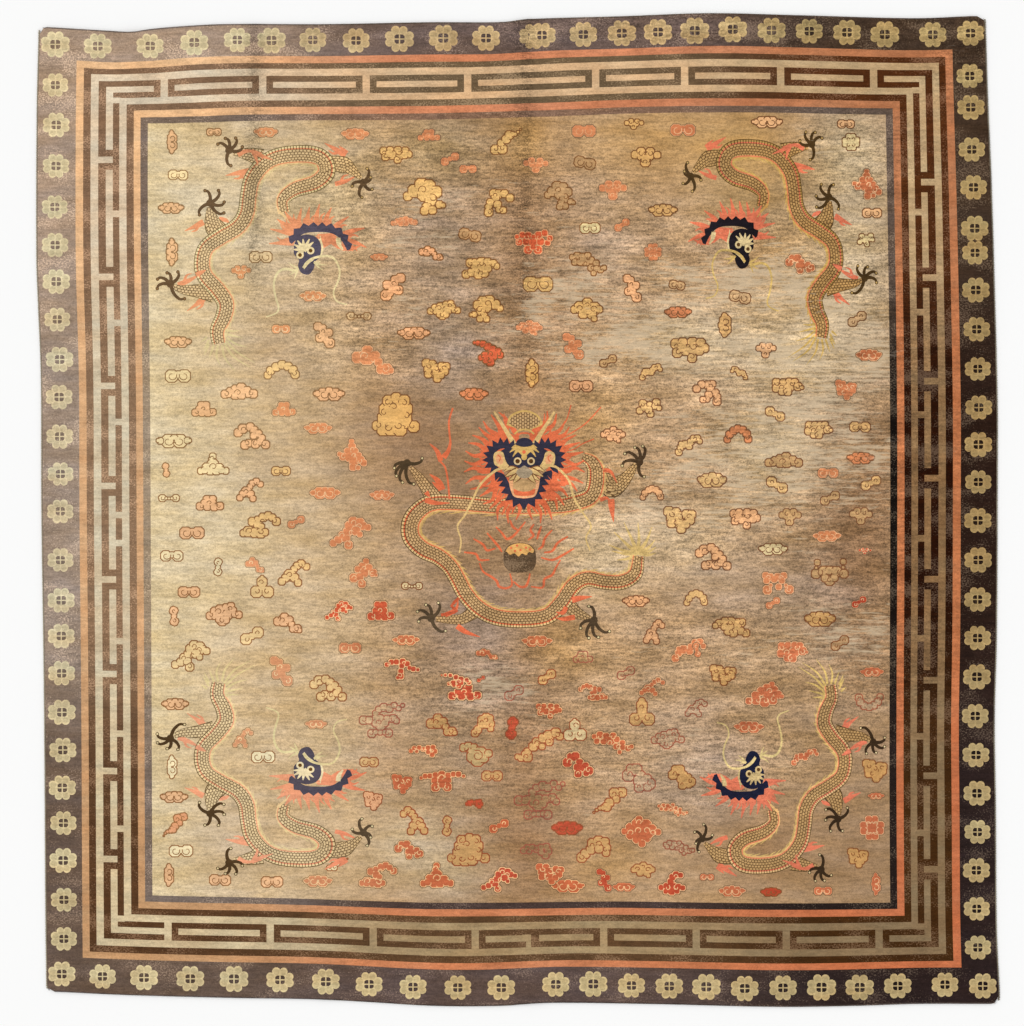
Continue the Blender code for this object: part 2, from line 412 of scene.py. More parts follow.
# Flowers: places along each edge, counted on the photo's squares, and their own shape.
flower = {
    "ringAcross": 10.4, "ringAlong": 9.0, "lobe": 4.2, "pairTurn": 21, "heart": 8.2,
    "square": 4.2, "cross": 1.2, "petal": 3.1, "petalReach": 0.93,
    "levelSize": (0.96, 1.05), "uprightSize": (0.93, 1.0),
    # The edge's line and how far in from it the flowers stand.
    "rows": {"upper": (13.2, 16.4), "lower": (1006.8, 18.4), "left": (35.9, 19.0), "right": (1000.1, 19.3)},
    "upper": (55.3, 97.8, 150.3, 194.3, 237.3, 271.5, 312.8, 356, 399.5, 443.3, 486, 533, 542, 583.3,
              621.8, 658, 694.8, 732.8, 771.5, 809.3, 847, 884.8, 932.8, 970.5),
    "lower": (61.8, 102.5, 144, 190.3, 234, 280, 325.8, 369, 413, 457.8, 501.3, 555.8, 593.3, 631.5,
              669.3, 706.3, 744.8, 783, 821.5, 859.8, 897.8, 945, 982.8),
    "left": (85, 125, 166, 207, 245, 281.5, 319.5, 359.5, 397, 436.5, 474, 511.3, 560, 600.3, 636,
             673.3, 712.3, 750, 787.8, 823, 860.5, 899.8, 938.8),
    "right": (76, 107.3, 149.5, 187.3, 228.3, 252.8, 290, 329.3, 368.8, 407.5, 444.5, 482, 520.5, 560,
              599.5, 638, 676.8, 716, 755, 793.3, 832, 870.3, 908.8, 947.5),
}


def layFlower(x, y, size):
    look = flower
    shade = random.uniform(0.94, 1.05)
    across, along = look["ringAcross"] * size, look["ringAlong"] * size
    family = len(inlays) + 1

    def petal(turn, reach, radius, sides, yarn, family):
        angle = math.radians((turn // 2) * 90 + look["pairTurn"] * (1 if turn % 2 else -1))
        middle = x + reach * across * math.cos(angle), y + reach * along * math.sin(angle)
        knot(roundSpot(*middle, radius, sides), yarn, shade, family)

    knot(roundSpot(x, y, look["heart"] * size, 14, along / across), "flower", shade, family)
    for turn in range(8):
        petal(turn, 1, look["lobe"] * size * random.uniform(0.95, 1.05), 12, "flower", family)
    for turn in range(8):
        petal(turn, look["petalReach"], look["petal"] * size, 10, "petal", family + 1 + turn)
    half, gap = look["square"] * size, look["cross"] * size / 2
    for dx, dy in ((-1, -1), (1, -1), (1, 1), (-1, 1)):
        far, corner = half + gap, 0.62 * half + gap
        shape = [(gap, gap), (far, gap), (far, corner), (corner, far), (gap, far)]
        knot([(x + dx * a, y + dy * b * 0.92) for a, b in shape], "flowerHeart", 1.0, family + 9)


def layFlowers():
    # Each row of flowers keeps to the middle of the ground beside its edge.
    for side, (edge, depth) in flower["rows"].items():
        level = side in ("upper", "lower")
        inward = 1 if side in ("upper", "left") else -1
        for place in flower[side]:
            away = place - chart["middleColumn"] if level else chart["middleRow"] - place
            inset = float(calmInset(side, away * chart["square"], 0.09)) / chart["square"]
            across = edge + inward * inset + inward * depth + random.uniform(-0.7, 0.7)
            size = random.uniform(*flower["levelSize" if level else "uprightSize"])
            layFlower(*((place, across) if level else (across, place)), size)


layBands()
layUprightFret("left")
layUprightFret("right")
layLevelFret("upper")
layLevelFret("lower")
layLowerBreak()
layFlowers()
print("borders charted:", len(inlays), "areas")

# Cloud shapes: lobes (across, up, radius) and, after the semicolon, curls (across, up, radius, start,
# sweep), in hundredths of half the cloud's width and degrees.
cloudKinds = {
    "pair": "-50 0 46, 50 0 46, 0 10 26; -46 0 38 20 -300, 46 0 38 160 300",
    "winged": "-33 -2 40, 33 -2 40, -76 2 20, 76 2 20, 0 18 24, -90 4 12, 90 4 12; -32 -2 31 20 -300, "
    "32 -2 31 160 300",
    "linked": "-68 0 33, 68 0 33, -28 -2 13, 28 -2 13, 0 -4 12, -92 4 12, 92 4 12; -64 0 25 30 -290, "
    "64 0 25 150 290",
    "twoUp": "-50 -26 42, 50 26 42, 0 0 26; -44 -24 22 30 -280, 48 24 20 200 -270",
    "arch": "-78 -42 22, -62 -10 25, -32 16 26, 0 28 26, 32 18 26, 62 -6 26, 74 -38 25; 66 -30 17 60 -280, "
    "-66 -30 15 120 280",
    "tailUp": "-70 -52 28, -26 -46 30, -34 -10 22, 2 10 26, 20 34 26, 42 40 16, 60 42 12, 78 52 9, "
    "94 68 5; -66 -46 16 60 -260, -22 -42 16 120 260",
    "mushroom": "-82 0 20, -52 22 30, -18 50 32, 20 46 30, 50 20 28, 0 10 36, 28 -20 28, 10 -52 22, "
    "34 -68 20, -2 -72 20, 70 -40 18, 88 -46 12; -10 30 22 200 -320, 36 -10 20 90 -280",
    "palace": "-82 -46 20, -56 -62 26, -20 -58 30, 16 -60 28, 46 -34 24, 76 -48 24, -44 -20 36, 0 -20 44, "
    "30 -10 36, -44 22 28, 0 28 42, 42 26 28, -34 60 24, 0 72 22, 34 60 24; -34 -52 17 0 -290, "
    "12 -44 17 180 290, 70 -46 14 120 270, 44 -2 15 90 -270, -50 12 15 90 270, -10 36 17 160 -300, "
    "34 52 14 90 -260, -34 54 14 90 260, -76 -44 13 60 -260",
    "rosette": "0 0 50, 62 20 30, 20 62 30, -24 62 30, -62 20 30, -62 -24 30, -20 -62 30, 24 -62 30, "
    "62 -22 30; -30 30 20 0 280, 30 30 20 180 -280, 30 -30 20 180 280, -30 -30 20 0 -280",
    "diamond": "-82 0 18, -50 10 30, -50 -16 28, -14 28 34, 22 26 32, 50 6 30, 84 -6 18, 0 0 42, "
    "24 -26 30, -16 -32 28, 4 -58 20, -10 52 20, 30 -10 30; -50 -8 17 200 -280, -12 2 18 200 -290, "
    "28 2 18 -20 290, 58 -8 16 -20 280, -8 40 16 200 -270",
    "zig": "-37 19 21, -11 26 18, 17 38 21, 41 45 20, 60 36 18, 81 19 20, -11 1 21, 7 -8 17, -82 -40 18, "
    "-56 -32 26, -25 -40 24, 2 -42 24, 23 -38 18; -53 -30 18 200 -290, 71 21 13 60 -270, "
    "14 19 13 200 -250, 7 -32 15 180 280",
    "climb": "79 42 21, 47 61 25, 18 48 23, -1 24 21, -28 -13 37, -56 -31 25, -77 -56 23, 5 -31 27, "
    "24 -62 23; -28 -13 21 180 -300, 45 51 15 160 270",
    "spray": "-81 -46 19, -56 -32 21, -36 -11 22, -11 7 24, -3 35 24, 17 55 24, 45 50 24, 62 32 22, "
    "83 25 18, 28 12 24, 47 -6 16, -16 -26 18, -8 -56 22, -26 -33 14; 45 32 15 180 -280, "
    "-36 -11 14 200 -260, -8 -54 14 90 -270, 20 50 14 200 -260, 9 4 15 250 -230",
    "rows": "-57 27 22, -32 27 22, 1 30 26, 33 32 22, 64 20 22, 84 8 16, -32 -1 24, 6 -1 24, -80 -33 21, "
    "-52 -23 21, -14 -31 24, 16 -23 24, 36 -1 19; -55 25 14 160 280, 1 25 15 30 -290, 61 17 14 30 -280, "
    "-75 -28 12 200 -270, 1 -28 15 200 -290",
    "roof": "-37 66 27, -4 60 29, 38 63 27, 74 34 27, -27 34 29, -60 4 27, -73 -29 25, -73 -65 29, "
    "-11 -12 27, 2 -45 23, 29 -51 23; -66 -61 18 100 -280, 19 -48 16 120 280, -24 53 18 200 -250",
    "long": "-88 -47 11, -74 -53 14, -48 -49 19, -46 -27 15, -22 -7 18, -10 11 18, 11 -5 13, 17 27 19, "
    "39 39 21, 43 13 15, 69 49 19, 85 37 15, -60 -37 13; -52 -47 11 180 -280, -6 9 12 200 -260, "
    "43 15 9 120 -250, 75 41 12 120 -280",
    "hunch": "-74 -50 28, -51 -30 28, -17 -1 28, -8 33 31, 29 47 31, 64 42 28, 75 7 26, 73 -24 22, "
    "29 1 26; -71 -47 18 180 280, 32 30 20 170 -280, 70 -4 16 90 270, -8 22 16 200 -240",
    "bean": "-76 -51 25, -60 -18 25, -30 5 29, 2 -8 25, 12 21 25, 35 44 27, 62 51 25, 81 25 19, -57 8 19; "
    "-70 -44 16 90 -270, 48 44 16 180 -270",
    "pyramid": "14 79 24, -12 45 28, 32 35 28, 63 1 30, -43 25 26, 2 1 33, -70 -33 33, -29 -26 30, "
    "-15 -74 30, 84 -16 15; -66 -33 19 180 -280, 56 -3 16 60 270, -19 -71 16 90 -260, 2 32 16 160 -250",
    "spurs": "-2 85 20, -2 54 28, -26 23 28, 18 23 28, -82 4 18, -57 -12 28, -13 -12 34, 40 -2 24, "
    "12 -43 32, 55 -33 28, 77 -52 24, 5 -80 26, 40 -80 18; -54 -9 17 90 280, 15 -2 17 200 -260, "
    "49 -40 17 60 -270, 5 38 15 200 -250",
    "hookFoot": "-72 11 30, -31 16 39, -27 43 28, 7 20 28, 24 -11 22, 38 -42 26, 65 -42 28, 82 -52 17; "
    "-38 20 21 200 -280, 58 -42 19 60 -270",
    "stairs": "-62 86 41, -14 72 34, -5 24 41, 48 24 38, -43 -29 41, 5 -24 38, 58 -82 47, 24 -58 31; "
    "-5 34 23 180 -260, 62 -82 27 60 -280, -43 -24 20 120 260",
    "fork": "-73 11 29, -50 38 27, -17 38 29, 9 11 25, -7 -11 25, 22 -11 25, 2 -41 25, 52 -2 23, "
    "75 -25 27, 58 -38 21; -56 15 20 200 -280, 71 -21 16 120 270, 2 -38 13 200 -250",
    "shell": "-76 38 25, -47 47 25, -15 41 23, -31 15 23, -22 -17 35, -2 9 35, 26 2 41, 10 -36 39, "
    "46 -23 33, 78 2 23; 10 -10 37 120 -420, -63 31 17 30 -280",
    "archFeet": "-78 21 23, -51 43 26, -12 52 23, 12 35 23, 34 13 23, 10 2 19, 54 -12 21, -40 -50 24, "
    "-18 -39 21, 18 -47 24, 48 -31 21, 78 -50 23; -45 38 17 200 -230, -29 -42 15 90 -250, "
    "18 -42 15 90 270, 70 -45 15 120 270",
    "crown": "-72 -29 29, -23 32 29, 19 32 29, -34 -2 32, 15 -2 32, -19 -29 29, 30 -32 29, 72 -25 29, "
    "-4 10 29; -4 2 18 180 -280, -61 -29 16 60 -270, 65 -25 16 120 270",
    "broad": "-70 35 29, -30 38 27, 9 41 27, 42 38 27, -73 -8 29, -36 -2 31, 9 -2 33, 61 5 29, -36 -38 27, "
    "0 -41 27, 85 -2 14; -67 29 17 160 280, 24 29 19 30 -280, -36 -2 19 200 -280, 58 2 17 60 -270, "
    "-15 -38 17 120 280",
    "tower": "-76 -33 24, -38 -23 31, 3 -23 35, 45 -29 29, 76 -33 24, -45 -61 24, -3 -57 33, 35 -57 24, "
    "-10 12 29, 3 43 29, 31 61 29, 62 57 24; -31 -33 19 60 -270, 31 -33 19 120 270, 31 47 17 180 -280",
    "towerPair": "0 89 27, 0 48 45, 0 -2 42, -54 -70 51, 54 -70 51, 0 -43 39; -50 -61 29 60 -280, "
    "50 -61 29 120 280, 0 34 22 180 -270",
    "heartPair": "2 84 16, 0 36 47, -53 -55 53, 53 -55 53, 0 -12 31; -5 36 27 180 -270, "
    "-48 -50 27 60 -260, 48 -50 27 120 260",
    "bell": "-2 48 20, -8 26 20, -2 -5 35, -39 -23 30, 39 -26 28, -79 -45 22, 79 -45 22, -17 -42 28, "
    "20 -42 28, -54 -39 22, 54 -39 22; 2 -17 25 190 -320, -5 39 13 180 -250",
    "low": "-79 -18 22, -46 -4 24, -20 9 24, 13 18 26, 45 1 24, 77 -15 24, -22 -18 26, 13 -18 26, "
    "-57 -20 17, 53 -18 17; -71 -15 15 60 -270, -6 -9 20 180 -290, 69 -12 15 120 270",
    "broadTree": "-80 -9 20, -51 13 25, -20 23 27, 12 36 22, 38 44 20, 46 18 23, 80 -3 20, -20 -6 28, "
    "17 -3 27, -49 -9 20, -9 -40 25, 9 -30 22, -30 -30 18, 59 -1 17; -30 13 20 180 -290, "
    "-9 -35 16 120 280, 36 31 14 180 -260, -73 -6 12 60 -260, 73 -1 12 120 260",
    "ship": "-90 13 10, -70 19 14, -50 21 14, -28 24 16, 0 28 19, 26 24 16, 48 28 14, 72 28 15, 90 21 10, "
    "-31 2 18, 0 2 22, 26 2 18, -28 -27 21, 24 -27 21, 0 -16 16; 0 15 15 200 -300, -26 -27 12 60 -290, "
    "22 -27 12 120 290",
    "crest": "-85 25 15, -61 36 20, -30 33 23, 22 33 23, 54 44 20, 82 18 18, -77 -3 21, -40 2 23, "
    "-4 -3 25, 35 2 23, 69 -3 18, -30 -40 25, 22 -40 25, -4 -27 18, -4 25 16; -30 -40 14 60 -290, "
    "22 -40 14 120 290, -35 25 14 160 280, 25 25 14 20 -280, -77 -1 12 90 270, 74 12 12 90 -270",
    "hookArch": "-83 24 17, -59 37 20, -30 40 20, 3 42 22, 27 29 20, 62 2 19, 86 -6 14, 40 7 17, -3 15 19, "
    "-5 -11 20, -8 -41 22, -22 -49 14; -11 -36 13 120 -280, -75 29 11 60 -250, 13 34 11 200 -240",
    "acorn": "-77 2 24, -43 17 36, 4 45 30, 44 11 38, 78 2 22, -24 -23 30, 29 -26 30, 44 -54 18, 1 2 32; "
    "-43 11 21 180 -290, 41 5 23 20 300, 4 33 15 160 -240",
    "trident": "-49 37 30, -74 -21 27, -35 4 30, 4 29 23, 58 44 30, 47 12 27, 79 1 21, 12 -46 27, "
    "-3 -13 30; -46 29 17 160 280, 54 33 17 20 -270, 8 -38 15 90 260",
    "mask": "-71 53 16, 73 59 16, -77 -9 25, -37 2 28, -1 8 23, 36 2 28, 78 -9 23, -4 -51 25, -26 -32 21, "
    "22 -32 21, -77 22 9, 73 25 9; -57 -4 19 60 -290, 59 -4 19 120 290, -4 -46 13 90 280",
    "peak": "35 47 17, 11 31 24, 43 17 27, -19 12 25, 16 -7 30, -48 -7 24, 64 -4 24, 85 -12 14, "
    "-80 -36 20, -43 -33 25, 0 -39 27, 40 -33 24; 24 15 16 180 -290, -35 -31 14 60 -280, 3 -33 14 60 -280, "
    "43 -28 14 120 270, -72 -33 11 60 -260",
    "cluster": "-86 30 14, -60 37 19, -31 32 19, -1 37 17, -74 9 16, -42 9 19, -12 12 22, 16 16 17, "
    "45 2 16, 16 -16 17, 45 -21 16, 87 -18 13, 68 -25 16, 32 -41 13; -54 28 14 160 280, -1 28 12 30 -280, "
    "-12 2 12 200 -270, 25 -18 11 60 270, 75 -21 9 120 260",
    "buds": "-77 48 25, -48 38 27, -2 38 27, 36 48 25, -73 15 23, 27 15 23, -25 25 25, -67 -43 31, "
    "72 -43 31, 4 -27 23, -48 -14 14, 49 -14 14; -61 35 17 180 -280, 17 35 17 0 280, -67 -43 17 60 -280, "
    "72 -43 17 120 280",
    "maskSmall": "-73 17 28, -32 42 31, 30 42 31, 75 17 26, -29 9 31, 23 9 31, -3 -39 36, -3 -17 31; "
    "-29 28 20 120 280, 27 28 20 60 -280, -3 -39 18 200 -280",
    "bracket": "-75 36 26, -37 40 26, 13 40 28, 55 36 26, 77 8 24, -66 -14 26, -21 -2 30, 23 -2 30, "
    "10 -43 24, -43 11 26, 51 -2 24; 20 21 19 200 290, -59 -11 17 90 270, 10 -36 15 90 -270, "
    "-69 24 13 200 -200",
    "cap": "-81 1 19, -57 21 21, -26 26 21, 1 15 21, 34 26 23, 68 29 23, 79 -1 23, 62 -29 23, 34 -7 21, "
    "-43 -1 17; 1 18 15 30 -270, 62 4 17 120 270, -57 10 11 90 -240",
    "pillow": "-69 62 33, -26 58 30, -54 15 35, -7 22 35, 40 42 30, 71 38 30, 60 -1 33, -3 -24 35, "
    "9 -64 30, -54 -24 30, 36 -32 28; -46 42 21 160 280, 1 19 21 90 -270, 56 26 19 20 270, "
    "-22 -24 19 90 250",
    "arms": "-29 30 14, -13 48 14, 10 57 17, 32 50 16, 55 64 13, 73 52 11, 91 64 8, -51 3 14, -27 10 16, "
    "-83 -2 18, -60 -2 16, -8 5 17, 23 5 16, 48 7 17, 64 -4 13, -8 -20 23, -27 -13 16, 12 -13 16, "
    "-45 -60 17, -8 -56 11, 30 -58 17, -27 -54 11, 12 -54 11; -13 -11 14 200 -330, -49 -58 11 60 -260, "
    "25 -58 11 120 260, -81 1 11 60 -250, 50 1 11 120 250",
    "comet": "-88 66 11, -65 66 17, -35 59 21, -2 42 25, 28 19 29, 65 12 23, 78 -14 23, 25 -14 34, "
    "-18 -21 27, -45 -31 19, 15 -57 27, -12 -47 21; 18 -7 20 200 -290, 68 -7 16 60 -270, 12 -54 16 90 260, "
    "-32 -24 13 90 250",
}
cloudEdges = {
    "rust": {"rim": "rust", "line": None, "curl": "rust", "step": 1.5, "hook": 0.75},
    "light": {"rim": "thinLine", "line": "lightLine", "curl": "lightLine", "step": 1.0, "hook": 0.5},
    "wine": {"rim": "wine", "line": None, "curl": "wine", "step": 1.5, "hook": 0.5},
}
yarnEdges = {"coral": "light", "red": "light", "field": "wine"}  # rust for the rest
# Sizes in chart squares: what is too small to knot, and from which width a cloud has curls and lobe lines.
cloudLook = {"leastLobe": 0.45, "leastCurl": 1.2, "curlsFrom": 14, "linesFrom": 24, "lineLobes": 5,
             "rimShare": 0.72, "core": 0.62, "curlPoints": 10, "curlEnd": 0.42, "curlThin": 0.7}

# The field's clouds: the kind, then each yarn, with edge and turn where they aren't the
# usual ones, and each cloud's column, row, width and, where it isn't 1, height share.
cloudRows = (
    "pair peach: 214 132 15, 189 592 22, 192 533 25, 220 880 22, 272 882 22, 846 124 17, 872 213 20, "
    "581 386 24; cream: 178 175 20, 178 376 26, 172 556 24 0.8, 181 851 24, 263 757 24, 590 228 19 1.3; "
    "coral: 281 329 19, 468 169 18, 584 131 23 1.3, 683 130 26, 828 473 22, 707 877 15, 823 891 19, "
    "350 648 24; gold: 492 776 21, 369 762 18 1.2, 860 427 21, 538 284 30 1.1, 281 471 20 0.9; "
    "tan rust -12: 470 235 23, 585 163 21 1.2, 677 285 15 1.3, 740 297 21 1.2; tan: 261 257 23",
    "winged coral: 266 132 24, 355 134 28, 313 296 27, 318 428 28, 325 493 31, 316 724 22, 318 881 29, "
    "382 495 25, 379 257 18, 749 727 30, 732 891 27, 876 796 17, 827 536 28, 872 672 24, 869 355 26 1.2, "
    "568 886 33, 624 887 23, 406 640 27 0.95, 537 641 31 0.9; coral rust: 474 394 28, 861 458 27, "
    "678 312 26; red rust: 771 892 20, 567 828 30 1.1; peach: 171 208 25, 178 342 26, 175 704 26, "
    "329 394 31, 414 333 32 0.8, 767 122 30 0.8, 636 601 26, 174 797 27 0.9; gold: 663 210 28, "
    "820 619 30 1.3, 712 480 28 1.4; cream: 174 441 35 0.85, 773 549 28",
    "linked tan: 359 316 24 0.8; cream: 169 498 20, 412 586 20",
    "winged peach rust 90: 172 142 23, 172 252 27, 169 875 22; cream rust 90: 172 767 23; "
    "coral light 90: 876 884 23; gold rust 90: 532 373 28 1.2, 725 325 23 1.5",
    "crown coral: 284 409 24, 429 135 23 0.8; red: 381 611 26 1.4, 465 692 35 0.8; peach: 204 409 24, "
    "210 503 28 0.85; field: 583 657 19 0.9",
    "pillow coral: 402 784 21 1.05, 846 390 22, 550 874 30 0.75; peach: 373 801 18 1.1; "
    "gold: 723 675 27 0.75, 875 771 24, 858 858 20 1.05, 680 520 32 0.85, 436 371 28 0.85",
    "broad coral: 793 652 32; gold: 819 430 28 0.9, 788 387 32 0.75",
    "acorn coral: 529 328 28 0.75; peach: 613 435 25 0.85; gold: 643 870 24 0.85, 587 310 32",
    "tower red: 672 883 28",
    "stairs red: 604 880 14 1.4; coral: 281 671 22 1.1, 573 346 21; peach: 324 335 20, 632 288 16 1.4; "
    "peach rust flip: 393 287 24 0.85",
    "bell coral: 437 875 34 1.1; cream: 213 464 31",
    "heartPair gold: 262 586 21; cream rust flip: 575 729 21",
    "towerPair gold: 642 711 23",
    "low peach: 239 391 36; coral: 404 221 28 0.75; tan: 784 460 37 0.9",
    "broadTree peach: 224 614 36; gold: 444 310 34 0.85; field: 668 739 33 0.9",
    "archFeet peach: 713 557 35, 252 436 35; gold: 328 688 36 0.95",
    "bracket peach: 745 519 30; gold: 690 350 38 0.95, 396 155 33 0.7; coral: 549 711 27 0.9",
    "ship coral: 442 781 47",
    "crest red: 534 242 39",
    "hookArch red: 402 669 36",
    "trident gold: 649 408 25; cream: 866 240 17 1.1",
    "mask tan: 830 572 36",
    "maskSmall coral: 241 272 20 0.9, 536 165 26 0.75, 613 190 28 0.95; gold: 634 124 20 0.6, "
    "646 157 30 0.85; tan: 790 517 22, 861 516 22; peach: 766 350 20; red: 865 551 14 0.6",
    "cap field: 536 851 31 0.9; coral: 423 751 30 0.85; red rust: 474 804 17",
    "peak coral: 765 694 40",
    "cluster coral: 613 743 43, 673 810 32 0.8; tan: 588 264 36 1.2; field: 679 848 31 0.8",
    "buds coral: 778 583 31",
    "zig gold: 260 525 40; coral: 378 875 39 1.05; coral light flip: 593 692 31 0.9",
    "climb gold: 294 573 31; gold rust flip: 414 821 27 1.25; coral: 243 738 20 1.2, 652 687 27 0.8; "
    "peach: 654 632 20 1.5, 250 490 26 1.05; field: 696 708 22 0.9",
    "spray gold: 191 656 38; coral: 350 533 42; red: 499 880 38 0.85, 339 611 29 0.95",
    "rows gold: 481 268 38; gold rust flip: 731 627 37 0.95",
    "roof gold: 499 203 29; peach rust flip: 707 393 28 0.95",
    "long gold: 539 745 49",
    "hunch gold: 594 849 33, 483 725 21 1.5",
    "bean gold: 689 445 27, 651 372 23 0.9; gold rust flip: 739 373 17; coral: 805 757 29 0.75, "
    "689 650 35 0.9",
    "pyramid coral: 364 573 29",
    "spurs coral: 352 455 31, 867 184 31 0.95",
    "hookFoot coral: 373 360 43 0.95, 487 654 24 0.6, 255 565 19 1.2; gold: 442 725 30; "
    "peach: 288 623 28, 431 253 25 0.75",
    "fork gold: 682 777 24 1.6; coral: 409 850 29, 800 264 30; red: 578 765 29 1.5; field: 639 778 30 1.5",
    "shell tan: 476 754 32",
    "arms field: 382 720 45, 540 800 50",
    "comet red rust: 488 353 31; red: 456 681 33 0.55",
    "twoUp coral: 450 159 20, 296 522 19, 773 603 15 1.3, 499 826 22, 622 225 16 1.3; "
    "red: 859 602 16 1.2, 481 679 9 1.2; gold: 547 677 17 1.4, 252 636 24 1.1, 871 483 21; "
    "tan: 830 498 20, 840 643 18 1.2, 608 361 18, 857 319 18 1.3; field: 626 673 18, 514 693 19 1.2; "
    "gold rust flip: 775 414 21, 777 485 22 1.1; gold rust 60: 447 826 19; cream rust 60: 218 567 17; "
    "peach rust 65: 174 616 19, 166 470 13 1.2; red rust 50: 512 728 21 1.2; "
    "coral light 70: 697 650 14 1.2",
    "arch gold: 282 369 36 0.8, 696 597 23 1.2; peach: 652 492 23 1.1; coral rust: 738 433 28 1.1; "
    "field wine 180: 869 703 28",
    "tailUp gold: 506 141 31 1.1; gold rust 180: 610 801 34; coral rust 190: 175 825 28 0.9; "
    "cream: 337 864 22 0.7",
    "mushroom gold: 425 196 42; tan: 560 195 30 1.1; gold rust flip: 486 308 34 0.9",
    "palace gold: 396 415 47, 469 850 42 0.8",
    "rosette coral: 872 828 27, 653 252 19; cream: 851 142 19 0.95",
    "diamond coral: 641 831 40 1.1",
)


def curl(x, y, radius, start, sweep, width, flip, share):
    count = cloudLook["curlPoints"]
    turns = np.radians(start + np.linspace(0, sweep, count))
    reach = radius * np.linspace(1, cloudLook["curlEnd"], count)
    line = np.column_stack((reach * np.cos(turns), reach * np.sin(turns) * share))
    line = np.column_stack((x + line[:, 0] * flip, y + line[:, 1]))
    return ribbon(line, width * np.linspace(1, cloudLook["curlThin"], count))


def turned(points, degrees):
    angle = math.radians(degrees)
    c, s = math.cos(angle), math.sin(angle)
    points = np.asarray(points, float)
    return np.column_stack((points[:, 0] * c - points[:, 1] * s, points[:, 0] * s + points[:, 1] * c))


def layCloud(kind, yarn, edge, turn, x, y, width, share=1.0):
    lobes, curls = (rowsOf(text) for text in cloudKinds[kind].split(";"))
    look = cloudEdges[edge]
    unit = width / 200
    flip = -1 if turn == "flip" else 1
    degrees = 0 if turn == "flip" else float(turn)
    shade = 1.0 if yarn == "field" else random.uniform(0.93, 1.06)
    jolt = [random.uniform(-2, 2) for _ in range(2 * len(lobes))]

    def place(points):
        # Chart rows run downwards.
        points = turned(points, degrees)
        return np.column_stack((x + points[:, 0], y - points[:, 1]))

    def lobe(i, grow, name, family, part=1.0):
        cx, cy, radius = lobes[i]
        cx = (cx * flip + jolt[2 * i]) * unit
        cy = (cy * share + jolt[2 * i + 1]) * unit
        grown = radius * unit * (0.5 + 0.5 * share) * part + grow
        if grown > cloudLook["leastLobe"]:
            knot(place(squareSpot(cx, cy, grown)), name, shade, family)

    def putLobes(grow, name, part=1.0):
        family = len(inlays) + 1
        for i in range(len(lobes)):
            lobe(i, grow, name, family, part)

    rim, hook = look["step"] * 0.5, look["hook"]
    putLobes(rim, look["rim"])
    inner = rim - look["step"] * cloudLook["rimShare"]
    if look["line"]:
        putLobes(inner, look["line"])
        inner -= (0.7 if yarn == "red" else 0.45) * min(1, width / 36)
    putLobes(inner, yarn)
    if len(lobes) > cloudLook["lineLobes"] and width > cloudLook["linesFrom"]:
        # Each lobe's own line shows near the rim, where it meets the lobes before it.
        for i in range(1, len(lobes)):
            lobe(i, inner + hook, look["curl"], len(inlays) + 1)
            lobe(i, inner - 0.15, yarn, len(inlays) + 1)
        putLobes(0.0, yarn, cloudLook["core"])
    if width < cloudLook["curlsFrom"]:
        return
    for cx, cy, radius, start, sweep in curls:
        cx, cy, radius = cx * flip * unit, cy * share * unit, radius * unit
        if radius > cloudLook["leastCurl"]:
            knot(place(curl(cx, cy, radius, start, sweep, 1.0, flip, 0.5 + 0.5 * share)),
                 look["curl"], shade, len(inlays) + 1)


def layClouds():
    for row in cloudRows:
        kind, lots = row.split(" ", 1)
        for lot in lots.split(";"):
            head, places = lot.split(":")
            yarn, *rest = head.split()
            edge = rest[0] if rest else yarnEdges.get(yarn, "rust")
            turn = rest[1] if len(rest) > 1 else "0"
            for place in rowsOf(places):
                layCloud(kind, yarn, edge, turn, *place)


def same(points):
    return np.asarray(points, float)


def drawRow(row, move=same):
    # How it is drawn, its yarn and its sizes stand before the points.
    head, places = row.split(":")
    way, yarn, *sizes = head.split()
    sizes = [float(size) for size in sizes]
    points = rowsOf(places)
    if way == "tongue":
        outline = tongue(points, *sizes)
    elif way == "shape":
        outline = smoothLine(points + points[:1], *sizes)
    else:
        line = smoothLine(points, sizes[0])
        outline = ribbon(line, np.linspace(sizes[1], sizes[-1], len(line)))
    knot(move(outline), yarn)


def draw(rows, move=same):
    for row in rows:
        drawRow(row, move)


def bent(start, tip, right, down):
    return start, ((start[0] + tip[0]) / 2 + right, (start[1] + tip[1]) / 2 + down), tip


